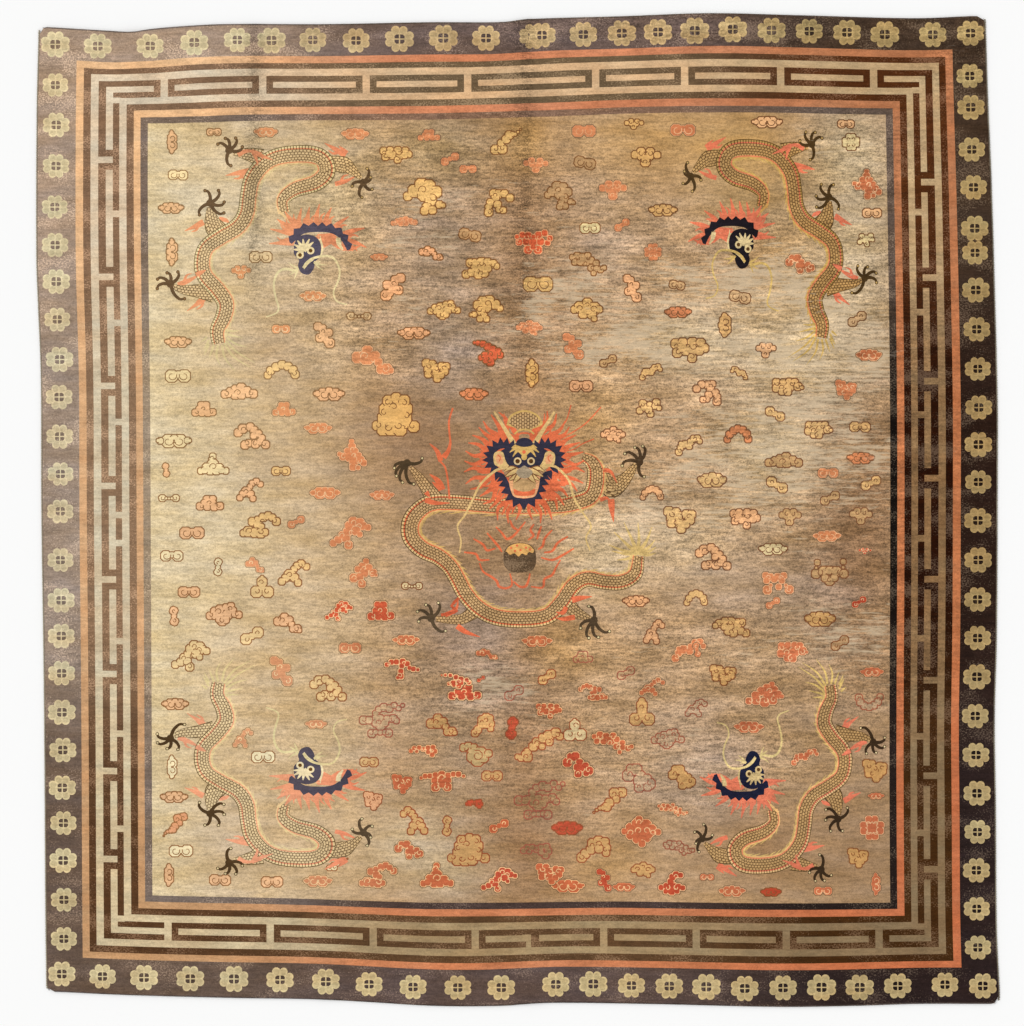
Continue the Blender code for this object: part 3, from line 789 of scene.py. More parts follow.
def layScales(body, widths, move, side, plates=True):
    # A scaled body: dark edge, a row of plates on one side, the scale net, a light line on the other.
    line = smoothLine(rowsOf(body), 5)
    wide = np.interp(np.linspace(0, 1, len(line)), np.linspace(0, 1, len(widths)), widths)
    aside = sideways(line) * side
    run = np.concatenate(([0], np.cumsum(np.hypot(*np.diff(line, axis=0).T))))

    def strip(low, high, yarn):
        a = line + aside * (wide * low / 2)[:, None]
        b = line + aside * (wide * high / 2)[:, None]
        knot(move(np.vstack((a, b[::-1]))), yarn, 1.0, len(inlays) + 1,
             run=(onCarpet(move(line)), run, side))

    if not plates:
        strip(-1.08, 1.08, "scaleEdge")
        strip(-0.96, 0.96, "scales")
        return
    strip(-1.10, 1.0, "scaleEdge")
    strip(-1.0, -0.78, "plates")
    strip(-0.78, -0.62, "plateRoot")
    strip(-0.58, 0.80, "scales")
    strip(0.80, 0.92, "flame")
    strip(0.92, 1.12, "backLine")
    for i in range(6, len(line) - 3, 2):
        # Short hairs along the light side.
        start = line[i] + aside[i] * wide[i] * 0.52
        end = line[min(i + 2, len(line) - 1)] + aside[i] * (wide[i] * 0.52 + random.uniform(2, 3.6))
        knot(move(tongue((start, (start + end) / 2, end), 1.0, 0.3, 2)), "hair")


def layBody(dragon, move):
    for points, widths in dragon["legs"]:
        layScales(points, widths, move, 1, plates=False)
    layScales(dragon["body"], dragon["widths"], move, -1)


def layClaws(dragon, move, width=3.9):
    for claw in dragon["claws"]:
        palm, *tips = np.array(rowsOf(claw))
        knot(move(roundSpot(*palm, 4.0, 9)), "claw")
        for tip in tips:
            reach = tip - palm
            aside = np.array((-reach[1], reach[0]))
            end = tip - aside * 0.08
            line = smoothLine((palm, palm + reach * 0.45 + aside * 0.16,
                               palm + reach * 0.85 + aside * 0.12, end), 3)
            knot(move(ribbon(line, np.linspace(width, width * 0.6, len(line)))), "claw")
            knot(move(roundSpot(*end, 1.9, 8)), "claw")
            knot(move(roundSpot(*end, 1.1, 7)), "clawTip")


def lick(start, tip, base, wave=0.10, point=0.7):
    # A flame's tongue with one soft wave in it.
    start, tip = np.array(start, float), np.array(tip, float)
    reach = tip - start
    aside = np.array((-reach[1], reach[0]))
    return tongue((start, start + reach * 0.35 + aside * wave, start + reach * 0.7 - aside * wave * 0.7,
                   tip + aside * wave * 0.4), base, point, 3, 0.45)


def serrated(points, widths, teeth, tall, side):
    # A band with teeth along one side.
    line = smoothLine(rowsOf(points), 6)
    wide = np.interp(np.linspace(0, 1, len(line)), np.linspace(0, 1, len(widths)), widths)
    aside = sideways(line) * side
    plain = line - aside * (wide / 2)[:, None]
    whole = np.arange(len(line))
    out = []
    for k, at in enumerate(np.linspace(0, len(line) - 1, teeth * 2 + 1)):
        base = np.array([np.interp(at, whole, line[:, axis]) for axis in (0, 1)])
        away = np.array([np.interp(at, whole, aside[:, axis]) for axis in (0, 1)])
        reach = np.interp(at, whole, wide) / 2 + (tall if k % 2 else -0.2)
        out.append(base + away * reach)
    return np.vstack((plain, np.array(out)[::-1]))


# The corner dragon, drawn for the upper left corner in the photo's squares.
cornerDragon = {
    "body": "284.5 213, 283 199.5, 294.8 189.2, 315.5 182.5, 325.8 172, 322.3 160, 309 154.8, 282.7 156, "
    "265.5 163.4, 253 178.9, 249 196, 246.6 213.3, 238 227, 220.8 237.4, 207 247.7, 202.7 261.5, "
    "205.3 275.3, 217.3 289, 226 302.8, 224.2 316.6, 217.8 330.4, 219 343.5",
    "widths": (11, 13, 15.5, 16.5, 17.5, 17.5, 17.5, 17, 16.5, 16.5, 16.5, 17, 17, 16.5, 16, 16, 16.5, 17,
               17.5, 16.5, 14.5, 13),
    "claws": ("229 150.3, 218.3 143.3, 226.3 138.2, 236.6 138.7, 242.5 148, 229.6 165.7",
              "363.5 182.4, 368.2 169, 352 185.2, 360.7 197.2, 371 178, 371.5 190",
              "210 203, 206 190.3, 219.4 191.2, 224.2 203.2, 223 214, 198.7 214",
              "170.3 284, 158 278.2, 168 272.6, 178.8 272.6, 157 287.6, 183.3 299.8"),
    "legs": (("262 158, 247 154, 233 153", (17, 12, 4)),
             ("328 163, 344 165, 352 170, 361 178", (14, 16, 10, 4)),
             ("222 236, 214 226, 211 216, 210 207", (20, 18, 11, 6)),
             ("213 292, 198 291, 182 289.5, 173 286", (20, 13, 8, 4))),
    "flames": (("251 171, 238 173, 225.5 175.5", 5.5), ("252 176, 241 178", 4),
               ("345.5 155.5, 335 149, 324.5 143", 5), ("347 153, 339 146", 3.5),
               ("335 184, 346 181, 356 176", 4), ("203.5 222, 196 226, 184.5 231", 5.5),
               ("219 219, 225 220, 231 224", 4), ("178 285, 190 280, 200 274", 4.5),
               ("209 293, 201 301, 187 311", 6), ("205 297, 196 302", 4)),
    "overBody": ("tongue flame 4 0.5: 238 155, 247 151, 262 153",
                 "tongue flame 4 0.5: 254 152, 262 156, 273 160",
                 "tongue flame 3.5 0.5: 252 150, 256 158, 258 166",
                 "tongue flame 4 0.5: 196 275, 202 272, 206 270"),
    "mane": ("301 232, 299 221, 301.5 208", "309 230, 307.5 219, 309.5 207", "317 229, 316.5 217, 319.5 204",
             "325 229, 326.5 218, 331.5 207.5", "333 231, 338 224, 348.7 216.5",
             "340 236, 352 231, 364.8 228",
             "343 241, 354 242, 366.5 247.5", "339 246, 351 248.5, 360 246", "297 235, 284 232, 270 229",
             "295 232, 284 224, 277 219", "299 229, 290 219, 284.9 211.5", "294 243, 282 243, 269 243.5"),
    "crest": "290.5 243, 295.5 236.5, 301.5 231, 309 229, 318 228.8, 326 229, 334 230.8, 341 235.5, "
    "345.5 242, 348.8 250",
    "crestWidth": (3, 6, 7, 7, 6.5, 6.5, 6.5, 6, 5, 3.5),
    "cheek": "312 240, 318 234, 334 233, 341 244, 338 249, 331 244, 322 249, 314 250",
    "ear": ("tongue cream 3.2 1.6: 338 238, 339 244, 343 250",
            "tongue cream 3.6 1.2: 321 238, 314 239, 309 236",
            "tongue flame 2.0 0.8: 320 237.5, 314.5 238"),
    "head": "shape navy 3: 294 246, 297 238, 306 234.5, 316 237, 321 245, 320 256, 315 262, 314 268, "
    "309 274.5, 301.5 273, 298 266, 299 260, 294 254",
    "whiskers": ("tongue cream 1.5 0.9: 313 259, 308 263, 304 269",
                 "line whisker 4 2.8 1.3: 303.5 268, 307 262.5, 314 258, 325.5 256, 333.9 258.5, 339.4 269, "
                 "338.5 280, 333.5 292, 337 301.4, 347 304.5",
                 "line whisker 4 2.8 1.3: 296 270.9, 284.9 269, 277.5 273, 273.8 284, 275.6 297, 278.6 308, "
                 "275.6 313.4, 266 317"),
    "hairs": ("207 337, 201 342", "209 340, 203 351", "214 345, 209 358", "218 345, 216.5 356, 220.5 366",
              "222 345, 225 358, 235 371", "224 343, 234 357, 250.5 367.5", "226 341, 237 352, 255 363",
              "227 338, 236 344, 247 347", "226 334, 234 336, 243 338", "225 330, 232 331, 239 330.5",
              "209 344, 204 355"),
}
# Across and along for each corner: scale and shift of the upper left drawing.
cornerPlaces = {
    "upper left": (1, 0, 1, 0),
    "upper right": (-0.90, 1018, 1, -6),
    "lower left": (1, 0, -0.93, 1002.4),
    "lower right": (-0.885, 1024, -0.952, 1012.4),
}


def layCornerDragon(flipX, shiftX, flipY, shiftY):
    dragon = cornerDragon

    def move(points):
        points = np.asarray(points, float)
        return np.column_stack((points[:, 0] * flipX + shiftX, points[:, 1] * flipY + shiftY))

    for text, base in dragon["flames"]:
        points = np.array(rowsOf(text))
        root, reach = points[0], points[-1] - points[0]
        knot(move(tongue(points, base, 0.6)), "flame")
        knot(move(lick(root, root + reach * 0.7 + reach[::-1] * (0.2, -0.2), base * 0.6)), "flame")
    layBody(dragon, move)
    draw(dragon["overBody"], move)
    layClaws(dragon, move)
    draw(["tongue hair 1.9 0.4:" + hair for hair in dragon["hairs"]], move)
    drawRow("tongue backLine 1.6 0.8: 277.5 210, 288 220, 298 233", move)
    for count, text in enumerate(dragon["mane"]):
        points = np.array(rowsOf(text))
        root, reach = points[0], points[-1] - points[0]
        knot(move(tongue(points, 4.6 if count < 8 else 4.0, 0.9, 4, 0.5)), "flame")
        turn = np.array((-reach[1], reach[0])) * 0.22
        knot(move(lick(root, root + reach * 0.68 + turn, 3.0)), "flame")
    knot(move(rowsOf(dragon["cheek"])), "flame")
    knot(move(serrated(dragon["crest"], dragon["crestWidth"], 9, 3.4, -1)), "navy")
    draw(dragon["ear"], move)
    rim = smoothLine(rowsOf("321.5 240, 323.5 248, 321.5 257"), 4)
    knot(move(np.vstack((rim, rowsOf("319.5 257, 321.5 248, 319.6 240")))), "cream")
    drawRow(dragon["head"], move)
    for tip in rowsOf("293.5 249.5, 294 244.5, 297.5 240.5, 303 239, 309.5 239, 313.5 242"):
        knot(move(tongue(bent((304, 251), tip, 0, -0.5), 2.9, 1.0)), "cream")
    for x, y in rowsOf("300 255, 310.6 250.6"):
        knot(move(roundSpot(x, y, 3.9, 12)), "cream")
        knot(move(roundSpot(x, y, 2.0, 9)), "eye")
    draw(dragon["whiskers"], move)
    for tip in rowsOf("288 262, 289 275, 294 279, 323 270, 327 265, 321 261"):
        knot(move(tongue(bent((298, 268) if tip[0] < 300 else (314, 262), tip, 0, 1), 1.8)), "whisker")


centreDragon = {
    "body": "583 456.5, 592 462, 596.5 474, 592 495, 574 503, 552 506, 500 506.5, 456 503, 432 503.5, "
    "418 512, 411 524, 412 537.5, 423 549, 438 556, 450 566, 458 579, 466 594, 479 608, 496 616.5, 520 619, "
    "546 616, 561 603, 573 586, 587 578.5, 605 581.5, 622 581.5, 635 573.5, 638.5 556",
    "widths": (9, 14, 17, 17.5, 17, 16, 15, 15.5, 16.5, 17.5, 18, 18, 17.5, 17, 16.5, 16.5, 16.5, 16.5,
               16.5, 16.5, 16.5, 17, 16.5, 15.5, 15, 15, 14, 11),
    "legs": (("437 503, 428 490, 417 475, 410 467", (19, 13, 8, 4.5)),
             ("602 470, 611 487, 624 480, 636 464", (12, 21, 13, 5)),
             ("474 612, 462 619, 448 619.5, 436 619", (13, 10, 8, 5)),
             ("566 602, 576 612, 586 617, 593 620", (16, 11, 7, 4))),
    "claws": ("407 463, 394 467, 395.5 475, 401 482, 412 484.5, 422.5 459.5",
              "639.5 462, 625.5 452.5, 636 447.2, 644 446.5, 622 464.3, 643 477",
              "431 618.5, 418 610.5, 418.5 620.5, 427 604.5, 439.5 603.5, 444.5 632",
              "594 620, 590 606, 580 627, 587.5 637.5, 597 637.5, 608.5 632.5"),
    "tail": "609 545, 612 551, 614 532, 624 522.5, 638 522.5, 652 527, 656 547, 617 560, 656 553, 655 540",
    "flames": ("4.5: 441 461, 437 451, 429.5 443.5", "4: 444 458, 449 449, 450 440",
               "6.5: 442 490, 438 481, 429.5 474", "4: 441 489, 436 485, 432 482",
               "4.5: 425 500, 436 503, 450 503", "4: 426 492, 430 497",
               "4: 445 615, 452 612, 457 607, 458 600", "5: 457 626, 466 632, 480 637",
               "5.5: 572 600, 581 598, 592 596.5", "4.5: 575 617, 564 619, 556 618",
               "4: 566 607, 563 613, 556 612", "6: 611 499, 612 510, 613.5 522",
               "3.5: 604 470, 611 472, 617 483", "3.5: 600 500, 606 498, 610 500"),
    "middle": (524, 464),
    "mane": "500 411.5, 491 414.5, 482.6 421.5, 478.5 427.5, 472.6 434.7, 468.5 442.2, 465.2 452, "
    "464.4 462, 463.8 471, 465.2 482.8, 470.5 490, 480 496.5, 484 505, 490 509, 496 519.5, 502 515, "
    "507 523, 512 514, 517 520",
    "strands": ("line flame 4 1.3: 545 441, 557 431, 566 421, 571 405",
                "line flame 4 1.3: 548 446, 566 436, 585 424, 601 407",
                "line flame 4 1.3: 556 452, 572 450, 582 444, 594 439"),
    "lobe": "514 448, 506 445.6, 499 446, 493.2 450.5, 490.5 457.5, 491.5 464, 497 469.5",
    "lobeWidth": (5, 6, 6.5, 6.5, 6.5, 6, 5),
    "ear": ("shape navy 3: 512 446, 503 449.5, 497.5 455, 497 463, 502.5 467.5, 512 468",
            "shape whisker 3: 493.3 457, 494.6 452.8, 499.2 451.1, 503.4 453, 505 459, 507.5 464, "
            "511 468.5, 505 469.5, 499.5 467, 494.5 464.4",
            "shape peach 3: 495.3 456.5, 499 453, 502.4 456, 503.4 461.5, 501 464.5, 496.8 462.6",
            "line flame 3 1.0: 497.5 455, 500.5 457.5, 499 461.5"),
    "head": "shape navy 3: 511 447, 517 442.6, 531.6 442.6, 538 447, 541 457, 539 468, 533 473, 524.3 475, "
    "516 473, 510 468, 508 457",
    "beard": "495 472.5, 502.3 476, 506.4 483.5, 510 492.5, 515 498.5, 524 501.5, 532.5 498.5, 537.5 491, "
    "541 482, 545 474.5, 552 471.5",
    "beardWidth": (3, 4.5, 5, 5, 5.5, 6, 5.5, 5, 5, 4.5, 3),
    "muzzle": ("shape peach 3: 510 472, 509 482, 511 491, 514.5 496.8, 524.3 498.2, 534 496.8, 537.5 491, "
               "539.5 482, 538.5 472, 524.3 467",
               "shape tan 3: 513 481, 513.3 488, 515 492.6, 524.3 494, 533.4 492.6, 535.2 488, 535.6 481, "
               "524.3 478.5",
               "shape flame 3: 513.6 488.6, 519 491, 524.3 491.6, 530 491, 535 488.6, 533.6 494.6, "
               "524.3 496, 514.8 494.6"),
    "nose": "shape nose 3: 516 473, 517.5 469.5, 521 467.5, 524.3 465.5, 527.6 467.5, 531 469.5, 532.6 473, "
    "529 477.2, 524.3 478.4, 519.5 477.2",
    "crown": "shape hair 4: 506.5 425, 509 417, 515 412.3, 524.3 410, 533.6 412.3, 539.6 417, 542 425, "
    "524.3 430",
    "dome": "508.8 423, 511.5 417, 517 413.6, 524.3 412, 531.6 413.6, 537.2 417, 540 423, 533 428, "
    "524.3 429.6, 515.5 428, 508.8 423",
    "brow": "shape navy 3: 516 445, 517.5 440, 524.3 437.6, 531 440, 532.6 445, 524.3 447",
    "whiskers": ("line whisker 5 2.8 1.4: 507.6 467, 499 469, 491 474, 480 485, 472.5 500, 465 515, "
                 "457.5 526, 461 540, 459.5 553",
                 "line whisker 5 2.8 1.4: 543 465, 550 465.5, 557.5 468, 568.6 480, 574 498, 583 513, "
                 "591 526, 586 538, 590 550.5"),
    "pearlFlames": ("496 527, 502 533, 506.5 538.8, 512 537, 518 531, 525.5 521.6",
                    "487 533, 494.8 542, 498.6 546.5, 502 552",
                    "473.5 538.8, 483 544.5, 487 550.3, 495.5 548.4",
                    "464 552.2, 475.7 554, 479.5 559.8, 489.5 559.8",
                    "479.5 563, 483 571.3, 491 576.6, 496.7 581, 499 586.4, 506.3 588.2, 512 584.5, "
                    "510 573.5",
                    "513.5 581.5, 519.7 586.6, 525.4 586.4, 528.3 581, 530 573.5",
                    "531 586.6, 542.6 587.4, 544.5 579, 552 575, 556 567.5, 560.5 559.8",
                    "534 524, 530.5 530, 533.5 535.5, 528 540", "541.5 526, 538.8 533, 537 539.5",
                    "552.2 530, 545 538, 542.6 546, 538 549.5", "568 536.5, 558 542.6, 552.2 551, 544 552.5",
                    "574 548.4, 562 555.5, 552.2 560, 541 557.5", "510 520, 513 527, 519 530.5"),
    "pearl": ("shape pearlDark 3: 503.4 556, 503.8 564, 507.5 569.8, 514.5 572.3, 524.5 572.4, 531.5 570.5, "
              "535.6 565, 536 556, 534.6 549.5, 529.5 544.6, 520 542.6, 510 544.6, 505 549.5",
              "shape gold 3: 505.3 551.5, 509 546.3, 515 543.8, 522 543.4, 529 545, 534 549.8, 532.6 553, "
              "529 552, 526.3 555.3, 522 553.4, 518.5 556.6, 514.5 553.2, 510 554.8, 507 552"),
    "pearlSpots": "511 548, 517 545.6, 520.5 550, 526 547.6, 530 549.5, 515 551",
}


def mirroredAcross(points, middle=524.3):
    points = np.asarray(points, float)
    return np.column_stack((2 * middle - points[:, 0], points[:, 1]))


def layPearl():
    dragon = centreDragon
    for points in dragon["pearlFlames"]:
        line = smoothLine(rowsOf(points), 4)
        knot(ribbon(line, 1.1 + 1.5 * np.sin(np.linspace(0.25, math.pi - 0.2, len(line)))), "flame")
    draw(dragon["pearl"])
    for x, y in rowsOf(dragon["pearlSpots"]):
        knot(roundSpot(x, y, 1.25, 7), "flame")


def layMane(dragon, mirror):
    middle = np.array(dragon["middle"])
    for tip in np.array(rowsOf(dragon["mane"])):
        away = tip - middle
        away *= 26 / math.hypot(away[0], away[1] * 1.25)
        knot(mirror(lick(middle + away, tip, 4.6, random.uniform(-0.12, 0.12), 1.0)), "flame")
        short = middle + away + (tip - middle - away) * 0.62
        turn = np.array((away[1], -away[0])) * random.uniform(0.10, 0.16)
        knot(mirror(lick(middle + away * 0.9, short + turn, 3.6, 0.1, 0.8)), "flame")
    for tip in rowsOf("503 414, 508.5 419, 512 426"):
        knot(mirror(lick((517, 441), tip, 3.0)), "flame")
    drawRow("tongue whisker 3.6 1.8 4 0.1: 516 447, 506.5 431.5, 494 411.5", mirror)


def layEye(mirror):
    # Cheek hairs, the eye and its brow on one side of the face.
    for tip in rowsOf("504.5 471.5, 505.5 476.5, 509 480.5, 513.5 482.5"):
        start = (517, 470.5) if tip[0] < 509 else (519.5, 475)
        line = (start, ((start[0] + tip[0]) / 2, tip[1] - 3.4), tip)
        knot(mirror(tongue(line, 4.6, 1.8, 3)), "rust")
        knot(mirror(tongue(line, 3.4, 0.7, 3)), "whisker")
    knot(mirror(roundSpot(517.6, 461.2, 3.9, 14)), "cream")
    knot(mirror(roundSpot(517.6, 461.2, 2.3, 10)), "eye")
    for x, y, rise in rowsOf("509.6 452.4 3.6, 512.8 456.8 1.6, 511.6 448 2.2"):
        line = ((522, 452), ((522 + x) / 2, min(y, 452) - rise), (x, y))
        knot(mirror(tongue(line, 3.4, 0.8, 3)), "hair")


def layCentreDragon():
    dragon = centreDragon
    sides = (same, mirroredAcross)
    for tip in rowsOf(dragon["tail"]):
        knot(tongue(bent((637, 553), tip, 1.5, 2), 3.0, 0.7), "hair")
    layBody(dragon, same)
    layClaws(dragon, same)
    draw(("line flame 4 1.9: 452.8 408, 449 421, 449.5 434, 450 447, 440 459, 445 467, 447.8 480, "
          "449.5 499",))
    for flame in dragon["flames"]:
        drawRow("tongue flame " + flame.replace(":", " 0.6:"))
    drawRow("line red 2 3.0: 459 598, 451.5 606, 457 611, 449 613.5, 441 615")
    for mirror in sides:
        layMane(dragon, mirror)
    draw(dragon["strands"])
    for mirror in sides:
        knot(mirror(serrated(dragon["lobe"], dragon["lobeWidth"], 9, 5.2, 1)), "navy")
        draw(dragon["ear"], mirror)
    drawRow(dragon["head"])
    knot(serrated(dragon["beard"], dragon["beardWidth"], 13, 6.0, 1), "navy")
    draw(dragon["muzzle"])
    for mirror in sides:
        layEye(mirror)
    drawRow(dragon["nose"])
    for x, y, radius, sides, yarn in ((524.2, 450.6, 5.2, 14, "hair"), (524.2, 457.2, 3.0, 9, "hair"),
                                      (524, 452, 1.9, 9, "flame")):
        knot(roundSpot(x, y, radius, sides), yarn)
    drawRow(dragon["crown"])
    line = onCarpet(np.linspace((524.3, 436), (524.3, 405), 8))
    knot(smoothLine(rowsOf(dragon["dome"]), 4), "scales", run=(line, np.linspace(0, 31, 8), 1))
    draw(("line hair 3 1.8: 514.5 434, 520 430, 528.6 430, 534.1 434",
          "line flame 3 1.8: 517.5 437.5, 520 433.5, 528.6 433.5, 531.1 437.5"))
    drawRow(dragon["brow"])
    draw(dragon["whiskers"])


layClouds()
for across, shiftAcross, along, shiftAlong in cornerPlaces.values():
    layCornerDragon(across, shiftAcross, along, shiftAlong)
layPearl()
layCentreDragon()
print("field charted:", len(inlays), "areas in all")

# The field's wools. They run across by column, and patches of other spinnings lie over them.
wools = {
    "sand": "dcc69a", "straw": "d5ba90", "fawn": "c9ab82", "camel": "bb9973", "taupe": "a98b6a",
    "drab": "ab8762", "tan": "b2916b", "hazel": "a78866", "slate": "a29286", "gold": "c7984e",
    "umber": "8b6645", "pale": "e0cda6", "olive": "a8905a",
}
fieldRun = ((150, "sand"), (225, "straw"), (320, "fawn"), (385, "camel"), (455, "taupe"), (525, "drab"),
            (600, "camel"), (690, "camel"), (760, "tan"), (850, "hazel"))
# Column, row, reach across, reach along, share.
fieldPatches = {
    "umber": "385 445 70 60 .3, 450 480 40 60 .26, 450 640 40 50 .36, 862 390 40 110 .55, "
    "800 400 50 60 .3, 780 200 40 60 .15, 690 470 40 60 .08, 545 645 60 45 .18, 872 500 35 110 .35, "
    "600 850 60 40 .22, 545 860 40 40 .14, 870 560 30 60 .2, 525 250 26 60 .4, 430 440 60 50 .45, "
    "850 555 45 70 .6, 525 840 35 40 .4, 765 850 55 45 .5, 860 850 40 50 .25, 275 350 30 40 .25, "
    "255 465 25 25 .3, 470 600 40 50 .35, 525 740 20 50 .3, 870 650 30 50 .3",
    "gold": "790 330 40 60 .22, 525 140 30 30 .4, 640 140 75 35 .4, 740 150 55 40 .6, 600 420 40 50 .3, "
    "560 650 40 30 .35, 800 255 60 30 .25, 610 860 40 25 .3",
    "slate": "600 250 40 40 .3, 480 620 50 40 .45, 700 770 50 55 .45, 225 840 40 50 .25, "
    "455 350 45 50 .4, 740 590 60 35 .3, 440 240 50 40 .3, 500 690 50 30 .35, 820 600 40 40 .25, "
    "300 240 50 80 .2",
    "pale": "215 215 70 80 .6, 310 190 50 60 .38, 195 450 60 80 .38, 325 750 40 60 .2, 230 540 50 60 .45, "
    "350 590 60 90 .16, 600 550 45 45 .45, 680 540 50 40 .3, 800 350 80 60 .45, 855 250 45 90 .45, "
    "850 150 40 40 .45, 770 450 50 40 .45, 190 560 60 90 .4, 400 845 50 40 .45, 450 870 35 25 .3, "
    "165 240 40 60 .35, 690 340 50 30 .45",
    "olive": "430 150 60 30 .35, 350 190 50 60 .25, 760 200 60 30 .25",
}

# Every other yarn's dye at eight places round the border or over the field, or one for all. They are
# matched to the photo with median colours measured over small areas of it.
borderSpots = ((90, 110), (80, 500), (90, 900), (518, 955), (930, 910), (940, 480), (930, 120), (518, 62))
fieldSpots = ((220, 280), (220, 760), (470, 220), (505, 480), (480, 760), (700, 480), (840, 230), (840, 760))
dyeReach = {"border": 190, "field": 95}
borderDyes = {
    "ground": "a8907a 9c8978 655346 5d4c45 2a1e1c 281810 413124 6a5850",
    "stripe": "ecbe8e d5a87c c5996e ca8058 c3714a bc744a b47650 d08660",
    "indigo": "7a695c 9d8970 7a6a5e 483934 231a17 0f0907 625246 866752",
    "brown": "84664e 8e7056 563922 5e432b 41260c 240a00 4f290f 6e5a42",
    "beige": "decaad d3c3a5 d2bf9a a58c67 877052 876846 bc9f77 d9b48a",
    "flower": "e2d0a4 dccca6 d5c295 d3bb89 bfa878 a88c5c b39865 c9ab7c",
    "endLine": "6d6057 6d6057 5a4f49 463a34 4d423c 4a3c34 4a3c34 5b4d44",
}
fieldDyes = {
    "coral": "e8a06c d89a70 d88a5c d88658 c26440 d58a5c bb6c46 c26c48",
    "peach": "f0bf8c ecbc8e eaaa78 e6a878 e6a87c e4ac7a e9b582 dcae7c",
    "red": "dd5c3a dd5c3a d2603c cc6440 be5238 c85638 c04e36 b0452c",
    "gold": "f5cc8a eccc94 dfb16e dca862 cea068 ddb378 d6a266 c4955c",
    "cream": "f5dda8 efdeb3 dcc792 dfc391 dcc394 dec592 d7bf8c cbb07c",
    "tan": "f8d8a4 dcbf8e c39868 c09a6a c0a06e c39a68 cba578 b08a62",
    "taupe": "c4ab84 c0a57e a08a6a 9c8468 8f7660 a08866 a58968 a0806a",
    "rust": "9c7850 986a42 875a34 7c5030 9c5434 80563a 744c2e 86522f",
    "wine": "a87a5a a87a5a 9a6048 965846 a05a46 9a5c46 8e5a46 96583f",
    "thinLine": "9c7550 9c7550 7c6048 7c6048 77593f 7d6148 75593f 75593f",
    "lightLine": "f2cf9e f2cf9e e2a172 e8b083 ecbb86 eab285 e3b184 e3b184",
    "navy": "58515f 57505b 45404c 363342 363342 1d1a22 1d171b 1c1e33",
    "scales": "e6c896 e6cc9c dcb67c cda674 c09c6c d0aa74 bb925a c29c68",
    "plates": "ecd9a4 ecd3a0 d8b878 e2bf85 e2bf85 e2bf85 b08a4c e0b983",
    "backLine": "eac893 efce99 e0b878 e0b074 e0b074 e0b074 d09e58 e6b577",
    "scaleEdge": "83704b 6b5636 6b5534 5d482e 5d482e 5d482e 5e4523 574226",
    "hair": "dcc894 e2cd96 d4b878 cfa963 d3b374 dcbc7b cba75c d3b36c",
    "whisker": "e3d2a0 e0cf9a dfc890 dcb87a dcc088 d8bb78 d2b068 dbc183",
    "flame": "ea9d70 eda27c e08058 dd6f48 df6a45 dd7550 dc7656 de7a5c",
    "claw": "6a5238 4f3a22 5a442c 4c3c28 5b4c3a 503c28 483419 3a2a1a",
    "clawTip": "8a6a45 ddc99a c4a467 dfc994 e0cfa0 dfc994 b8965a dcc594",
    "eye": "6b4a22 6b4a22 5f4222 5a3a1e 5a3a1e 5a3d20 5a3d20 5a3d20",
    "nose": "a89478",
    "pearlDark": "5a4632",
}
# Yarns that are a darker lot of another one.
mixedYarns = {"flowerHeart": ("ground", 0.62), "petal": ("flower", 0.84), "plateRoot": ("flame", 0.95)}


def linear(code):
    value = np.array([int(code[i:i + 2], 16) for i in (0, 2, 4)]) / 255
    return np.where(value <= 0.04045, value / 12.92, ((value + 0.055) / 1.055) ** 2.4)


def fieldDye(column, row):
    places = [place for place, wool in fieldRun]
    run = np.array([linear(wools[wool]) for place, wool in fieldRun])
    colour = np.column_stack([np.interp(column, places, run[:, part]) for part in range(3)])
    for wool, patches in fieldPatches.items():
        for midColumn, midRow, across, along, share in rowsOf(patches):
            cover = share * np.exp(-((column - midColumn) / across) ** 2 - ((row - midRow) / along) ** 2)
            colour += (linear(wools[wool]) - colour) * cover[:, None]
    return colour


def dyeAt(yarn, x, y):
    # A soft blend of the yarn's dyes round a place in metres.
    column = x / chart["square"] + chart["middleColumn"]
    row = chart["middleRow"] - y / chart["square"]
    if yarn == "field":
        return fieldDye(column, row)
    border = yarn in borderDyes
    spots = np.array(borderSpots if border else fieldSpots)
    codes = (borderDyes if border else fieldDyes)[yarn].split()
    colours = np.array([linear(code) for code in codes * (len(spots) // len(codes))])
    reach = dyeReach["border" if border else "field"]
    away = (column[:, None] - spots[:, 0]) ** 2 + (row[:, None] - spots[:, 1]) ** 2
    weight = 1 / (away / reach**2 + 0.35) ** 2.2
    return weight @ colours / weight.sum(axis=1, keepdims=True)


# Which of the carpet's materials each yarn has, and pattern wool (3) for the rest.
yarnFinish = {"field": 0, "ground": 1, "indigo": 1, "endLine": 1, "flowerHeart": 1, "brown": 2,
              "pearlDark": 2, "scales": 4, "plates": 5, "plateRoot": 5, "taupe": 0, "stripe": 6, "beige": 6,
              "flower": 6, "petal": 6}


def insideOutline(px, py, outline):
    wind = np.zeros(len(px), int)
    for (x0, y0), (x1, y1) in zip(outline, np.roll(outline, -1, axis=0)):
        if y0 == y1:
            continue
        side = (x1 - x0) * (py - y0) - (px - x0) * (y1 - y0)
        wind += ((y0 <= py) & (py < y1) & (side > 0)).astype(int)
        wind -= ((y1 <= py) & (py < y0) & (side < 0)).astype(int)
    return wind != 0


